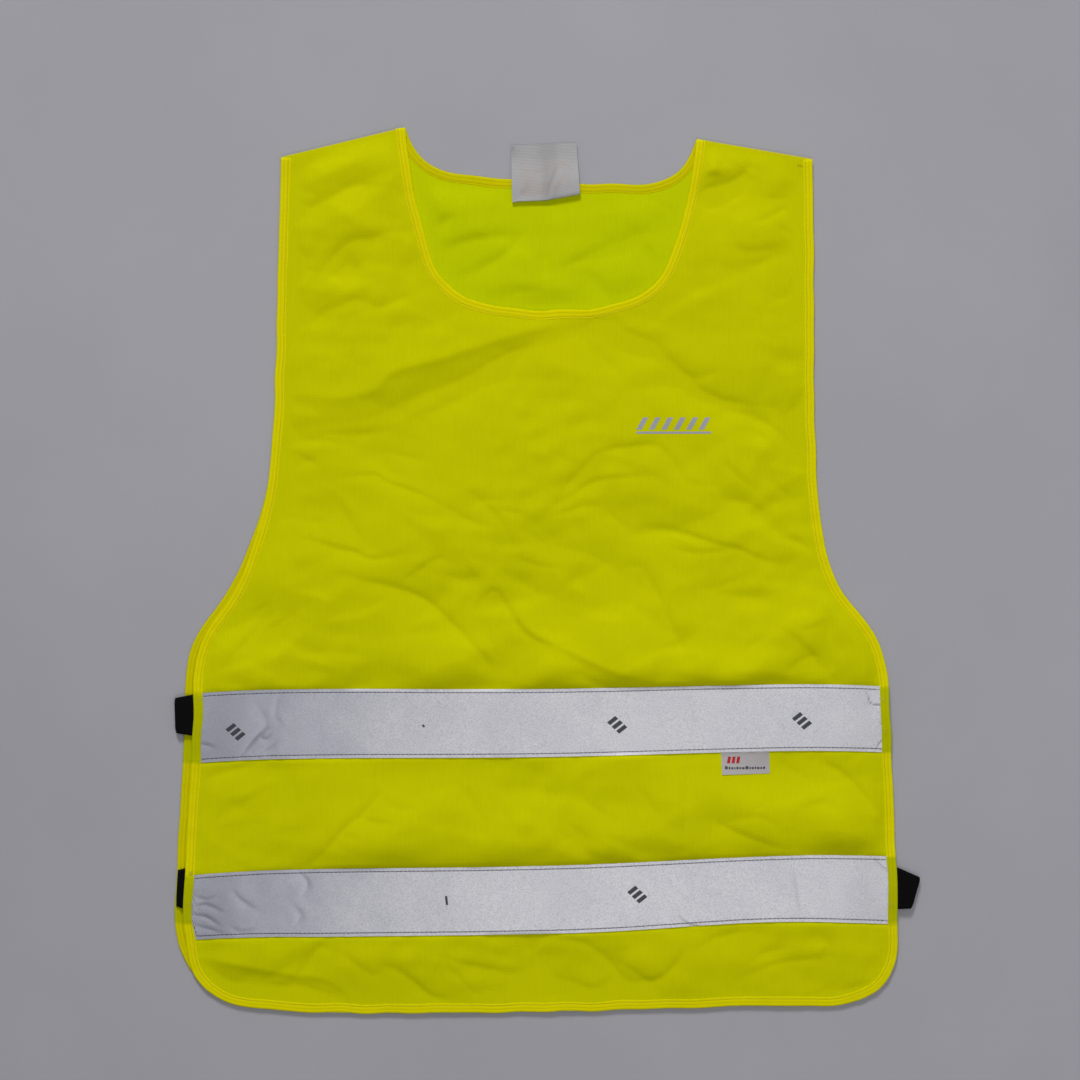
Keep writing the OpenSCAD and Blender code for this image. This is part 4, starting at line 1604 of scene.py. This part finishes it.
class VEST_OT_straps(bpy.types.Operator):
    """Folded elastic straps that join the sides"""

    bl_idname = "vest.straps"
    bl_label = "Side straps"

    def turn(self, x, low, high, out, count=14):
        radius = (high - low) / 2
        angle = np.linspace(-math.pi / 2, math.pi / 2, count)
        return [(x + out * radius * math.cos(a), low + radius + radius * math.sin(a)) for a in angle]

    def middle_line(self, place, back_edge, low, high):
        """Middle line of the folded strap as distances off the edge and heights.
        A distance of about 1 stands for the strap's own reach."""
        sewn = -sizes().binding + 0.001
        if not place["tucked"]:
            out, slope = 0.002, 0.0002
            inner, outer = [(back_edge + sewn, low), (out, low + slope)], self.turn(1.0, low, high, 1)
            return inner + outer + [(out, high - slope), (sewn, high)]
        level = (high - low) / 3
        inner = min(back_edge, 0) - 0.010
        lower = [(back_edge + sewn, low)] + self.turn(back_edge - 0.0012, low, low + level, 1)
        middle = self.turn(inner, low + level, high - level, -1)
        return lower + middle + self.turn(1.0, high - level, high, 1) + [(sewn, high)]

    def webbing(self, name, place, line, radius):
        """Carries the strap's flat section along its middle line, as a closed tube."""
        side, half, thick = place["side"], place["half"], sizes().webbing
        rows, rounded = 17, 0.0009
        share = np.linspace(-1, 1, rows)
        upper, lower = place["reach"]
        reach = lower + (upper - lower) * (share + 1) / 2 - radius - thick / 2 - rounded * share**8
        at_reach = line[:, 0] > 0.5
        out = np.where(at_reach, line[:, 0] - 1.0, line[:, 0])
        distance = np.where(at_reach[:, None], reach[None] + out[:, None], out[:, None])
        middle = np.stack([distance[:, rows // 2], line[:, 1]], axis=1)
        way = np.gradient(middle, axis=0)
        way /= np.maximum(np.linalg.norm(way, axis=1), 1e-9)[:, None]
        normal = np.stack([way[:, 1], -way[:, 0]], axis=1)
        edge_x = edge_at(lay("front").edge, place["y"] + share * half, side)
        shells = []
        for face in (1, -1):
            d = distance + normal[:, :1] * face * thick / 2
            z = line[:, 1:] + normal[:, 1:] * face * thick / 2 + np.zeros((1, rows))
            pull = np.clip(d / max(place["reach"]), 0, 1)
            top = half - place["taper"][0] * pull
            bottom = -half + place["taper"][1] * pull
            across = bottom + (top - bottom) * (share + 1) / 2
            shells.append(np.stack([edge_x + side * d, place["y"] + across, z], axis=2))
        points = np.concatenate([shells[0], shells[1][:, ::-1]], axis=1)
        columns = 2 * rows
        faces = grid_faces(len(line), columns, closed=True) + end_caps(len(line), columns)
        held = {
            "along": np.repeat(run_lengths(middle), columns),
            "across": np.tile(np.concatenate([share, share[::-1]]) * half, len(line)),
        }
        piece = new_piece(name + "_webbing", points.reshape(-1, 3), faces, elastic_finish(), held)
        reshape(piece, lambda shape: bmesh.ops.recalc_face_normals(shape, faces=shape.faces))
        return piece

    def execute(self, context):
        thick = context.scene.vest_sizes.webbing
        resting = 0.0015  # Height of the lower face, on the back's cloth
        below = 0.0006  # From the middle of the front's cloth to the upper face
        for name, place in STRAPS.items():
            side, y = place["side"], place["y"]
            front_edge = edge_at(lay("front").edge, y, side)
            back_edge = (edge_at(lay("back").edge, y, side) - front_edge) * side
            at_front = np.array([[front_edge - side * 0.004, y]])
            high = lay("front").heights(at_front)[0] - below - thick / 2
            low = resting + thick / 2
            line = np.array(self.middle_line(place, back_edge, low, high))
            piece = self.webbing(name, place, line, (high - low) / (6 if place["tucked"] else 2))
            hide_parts(name)
            high - 0.0002
            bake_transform(piece)
        return {"FINISHED"}


class VEST_OT_bartacks(bpy.types.Operator):
    """Zigzag tacks over the sewn ends of the straps"""

    bl_idname = "vest.bartacks"
    bl_label = "Bartacks"

    def zigzag(self, x, y):
        """Points of one tack, from its lower end."""
        wide, tall, step, count = 0.0011, 0.0015, 0.00033, 10
        return np.array([(x + (wide if i % 2 else -wide), y - tall + i * step) for i in range(count)])

    def execute(self, context):
        radius = context.scene.vest_sizes.thread / 2 * 0.9
        for side, lift in (("back", 0.0017), ("front", 0.00078)):
            cloth = lay(side)
            rows = []
            for place in STRAPS.values():
                for end in (-1, 1):
                    y = place["y"] + end * (place["half"] - 0.0035)
                    x = edge_at(cloth.edge, y, place["side"]) - place["side"] * 0.0042
                    zig = self.zigzag(x, y)
                    zig = np.column_stack([zig, cloth.heights(zig) + lift])
                    rows += [zig[i : i + 2] for i in range(len(zig) - 1)]
            piece = tacks(f"{side}_strap_tacks", rows, thread_finish("yellow_thread"), radius)
            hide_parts(f"{side}_strap_bartacks")
            settle(piece, side)
        return {"FINISHED"}


def frame_joint(name):
    """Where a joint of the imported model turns."""
    joints = frame["joints"]
    return next(joint["pos_m"] for joint in joints if joint["name"] == name)


class VEST_OT_neck_label(bpy.types.Operator):
    """Woven label that is folded up over the back of the neck"""

    bl_idname = "vest.neck_label"
    bl_label = "Neck label"

    def execute(self, context):
        root_low, root_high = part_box("neck_label_root")
        flap_low, flap_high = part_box("neck_label_flap")
        middle_x = (root_low.x + root_high.x) / 2
        tilt, half = math.radians(2.5), 0.0250
        fold_y = frame_joint("neck_label_turn")[1]
        low_z, high_z, rest_z = root_low.z + 0.0002, 0.0046, flap_low.z - 0.0003
        radius = (high_z - low_z) / 2
        profile = [(0.0095 - 0.0012 * i, low_z) for i in range(8)]
        arc = np.linspace(-math.pi / 2, math.pi / 2, 16)
        profile += [(-radius * math.cos(a) * 0.2, low_z + radius + radius * math.sin(a)) for a in arc]
        reach = flap_high.y - fold_y - 0.0014
        flap_run = np.linspace(0.0008, reach, 44)
        profile += [(s, high_z + (rest_z - high_z) * ease(s, 0.008, 0.034)) for s in flap_run]
        profile = np.array(profile)
        columns = 76
        u = np.linspace(-1, 1, columns)
        run = run_lengths(profile)
        flap = ease(run, run[23], run[-1])[:, None]
        upper = ease(run, run[14], run[26])[:, None]
        folded = ease(run, run[3], run[12])[:, None] * (1 - ease(run, run[26], run[50]))[:, None]
        raised = np.maximum(u, 0)[None]
        x = u[None] * half * (1 - 0.03 * flap) + np.zeros((len(profile), 1))
        y = profile[:, :1] + 0.0034 * raised * folded - 0.0005 * (u[None] < -0.9) * folded
        flat = np.stack([x.ravel(), y.ravel()], axis=1)
        z = profile[:, 1:] + fold_heights(flat, LABEL_CREASES).reshape(x.shape) * upper
        z = z + upper * (0.0005 * flap * (u[None] ** 2) + 0.0004 * np.sin(3.1 * u[None] + 0.4))
        corner = np.exp(-(((x + half) / 0.006) ** 2) - ((y - reach) / 0.006) ** 2)
        z = z + upper * (0.0009 * raised * (1 - flap) + 0.0014 * corner)
        cos, sin = math.cos(tilt), math.sin(tilt)
        points = np.stack([
            middle_x + x * cos - y * sin + 0.0001, fold_y + x * sin + y * cos, z
        ], axis=2).reshape(-1, 3)
        held = {
            "along": np.repeat(run, columns),
            "across": np.tile(u * half, len(profile)),
            # The label's creases get painted shade
            "worn": crease_wear_and_shade(flat, LABEL_CREASES) * upper.repeat(columns),
        }
        faces = grid_faces(len(profile), columns)
        piece = new_piece("neck_label_cloth", points, faces, label_finish(), held)
        thicken(piece, 0.00035)
        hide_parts("neck_label_root", "neck_label_flap")
        # A start and an end a short, leaning bend apart, just above the fold, are worked out here but
        # nothing uses them
        start_z, bend, lean = low_z + 0.00145, 0.0002, 0.1
        start, end = (0, fold_y, start_z), (0, fold_y + lean * bend, start_z + bend)
        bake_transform(piece)
        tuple(start)
        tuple(end)
        row = np.array([
            (middle_x + t * cos - 0.0078 * sin, fold_y + t * sin + 0.0078 * cos, low_z + 0.0004)
            for t in np.linspace(-half, half, 40)
        ])
        radius = sizes().thread / 2
        stitches = thread_rows("neck_label_stitches", [row], thread_finish("yellow_thread"), radius, 61)
        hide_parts("neck_label_stitching")
        settle(stitches, "back")
        return {"FINISHED"}


class VEST_OT_flag_label(bpy.types.Operator):
    """Small satin label caught under the upper band, with plain printed bars"""

    bl_idname = "vest.flag_label"
    bl_label = "Flag label"

    def heights(self, points):
        """Rests on the cloth, with its lower left corner a little lifted."""
        low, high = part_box("flag_label")
        down = (high.y - points[:, 1]) / (high.y - low.y)
        left = (high.x - points[:, 0]) / (high.x - low.x)
        rest = lay("front").heights(points) + 0.00042
        return rest + 0.0006 * ease(down, 0.2, 1.0) * (0.3 + 0.7 * left)

    def print_heights(self, points):
        return self.heights(points) + 0.00014

    def execute(self, context):
        low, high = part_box("flag_label")
        skew, tuck = 0.0007, 0.0016
        corners = [
            (low.x + skew, low.y + 0.0004), (high.x + skew * 0.8, low.y + 0.0012),
            (high.x, high.y + tuck), (low.x, high.y + tuck),
        ]
        points, faces = patch(corners, 0.0009)
        points = np.column_stack([points, self.heights(points)])
        piece = new_piece("flag_label_satin", points, faces, flag_finish())
        thicken(piece, 0.0002)
        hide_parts("flag_label")
        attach(piece, "flag_tab")
        bars = [
            bar(0.0022, 0.0048, 0.0009, (low.x + 0.0058 + i * 0.0034, high.y - 0.0051)) for i in range(3)
        ]
        widths = (2.0, 1.2, 1.5, 0.9, 1.6, 1.2, 1.8, 2.2, 1.1, 1.6, 1.0, 1.7, 1.3, 1.5)
        dashes, x = [], low.x + 0.0028
        for i, width in enumerate(widths):
            tall = 0.0021 if i % 7 == 0 else 0.0014 + 0.0003 * (i % 3 == 1)
            dashes.append(bar(width * MM, tall, 0, (x + width * MM / 2, high.y - 0.0118 + tall / 2)))
            x += (width + 0.7) * MM
        for name, shapes, ink in (
            ("flag_label_bars", bars, "label_print_red"), ("flag_label_dashes", dashes, "band_print")
        ):
            marks = printed(
                name, shapes, self.print_heights, print_finish(ink), cell=0.0006, thickness=0.00004
            )
            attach(marks, "flag_tab")
        return {"FINISHED"}


class VEST_OT_chest_motif(bpy.types.Operator):
    """Plain row of slanting bars over a line, printed on the chest"""

    bl_idname = "vest.chest_motif"
    bl_label = "Chest motif"

    def execute(self, context):
        low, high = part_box("chest_transfer")
        wide, tall = high.x - low.x, high.y - low.y
        count, bar_wide, foot = 6, 0.004, low.y + 0.003
        lean = tall / 2 - 0.001
        shapes = []
        for left in low.x + np.arange(count) * wide / count:
            right = left + bar_wide
            shape = [(left, foot), (right, foot), (right + lean, high.y), (left + lean, high.y)]
            shapes.append([(min(x, high.x), y) for x, y in shape])
        line_top = low.y + 0.0016
        shapes.append([(low.x, low.y), (high.x, low.y), (high.x, line_top), (low.x, line_top)])
        piece = printed(
            "chest_motif",
            shapes,
            lambda points: on_piece("front_cloth", points, 0.00007),
            print_finish("transfer_print"),
            cell=0.001,
            thickness=0.00008,
        )
        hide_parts("chest_transfer")
        settle(piece, "front")
        return {"FINISHED"}


OPERATORS = (
    VEST_OT_stage,
    VEST_OT_cloths,
    VEST_OT_bindings,
    VEST_OT_bands,
    VEST_OT_band_marks,
    VEST_OT_stitching,
    VEST_OT_shoulder_seams,
    VEST_OT_straps,
    VEST_OT_bartacks,
    VEST_OT_neck_label,
    VEST_OT_flag_label,
    VEST_OT_chest_motif,
)


class VEST_PT_panel(bpy.types.Panel):
    """Sidebar panel with the sizes, the colours and a button for each group of pieces"""

    bl_idname = "VEST_PT_panel"
    bl_label = "High visibility vest"
    bl_space_type = "VIEW_3D"
    bl_region_type = "UI"
    bl_category = "Vest"

    def draw(self, context):
        for group in (context.scene.vest_sizes, context.scene.vest_colours, context.scene.vest_stage):
            box = self.layout.box()
            for key in group.__annotations__:
                box.prop(group, key)
        for operator in OPERATORS:
            self.layout.operator(operator.bl_idname)


GROUPS = {"vest_sizes": VestSizes, "vest_colours": VestColours, "vest_stage": StageSettings}
CLASSES = (*GROUPS.values(), *OPERATORS, VEST_PT_panel)


def register():
    for kind in CLASSES:
        bpy.utils.register_class(kind)
    for name, group in GROUPS.items():
        setattr(bpy.types.Scene, name, PointerProperty(type=group))


def unregister():
    for name in GROUPS:
        delattr(bpy.types.Scene, name)
    for kind in reversed(CLASSES):
        bpy.utils.unregister_class(kind)


def main():
    register()
    for operator in OPERATORS:
        group, name = operator.bl_idname.split(".")
        getattr(getattr(bpy.ops, group), name)()


if __name__ == "__main__":
    main()
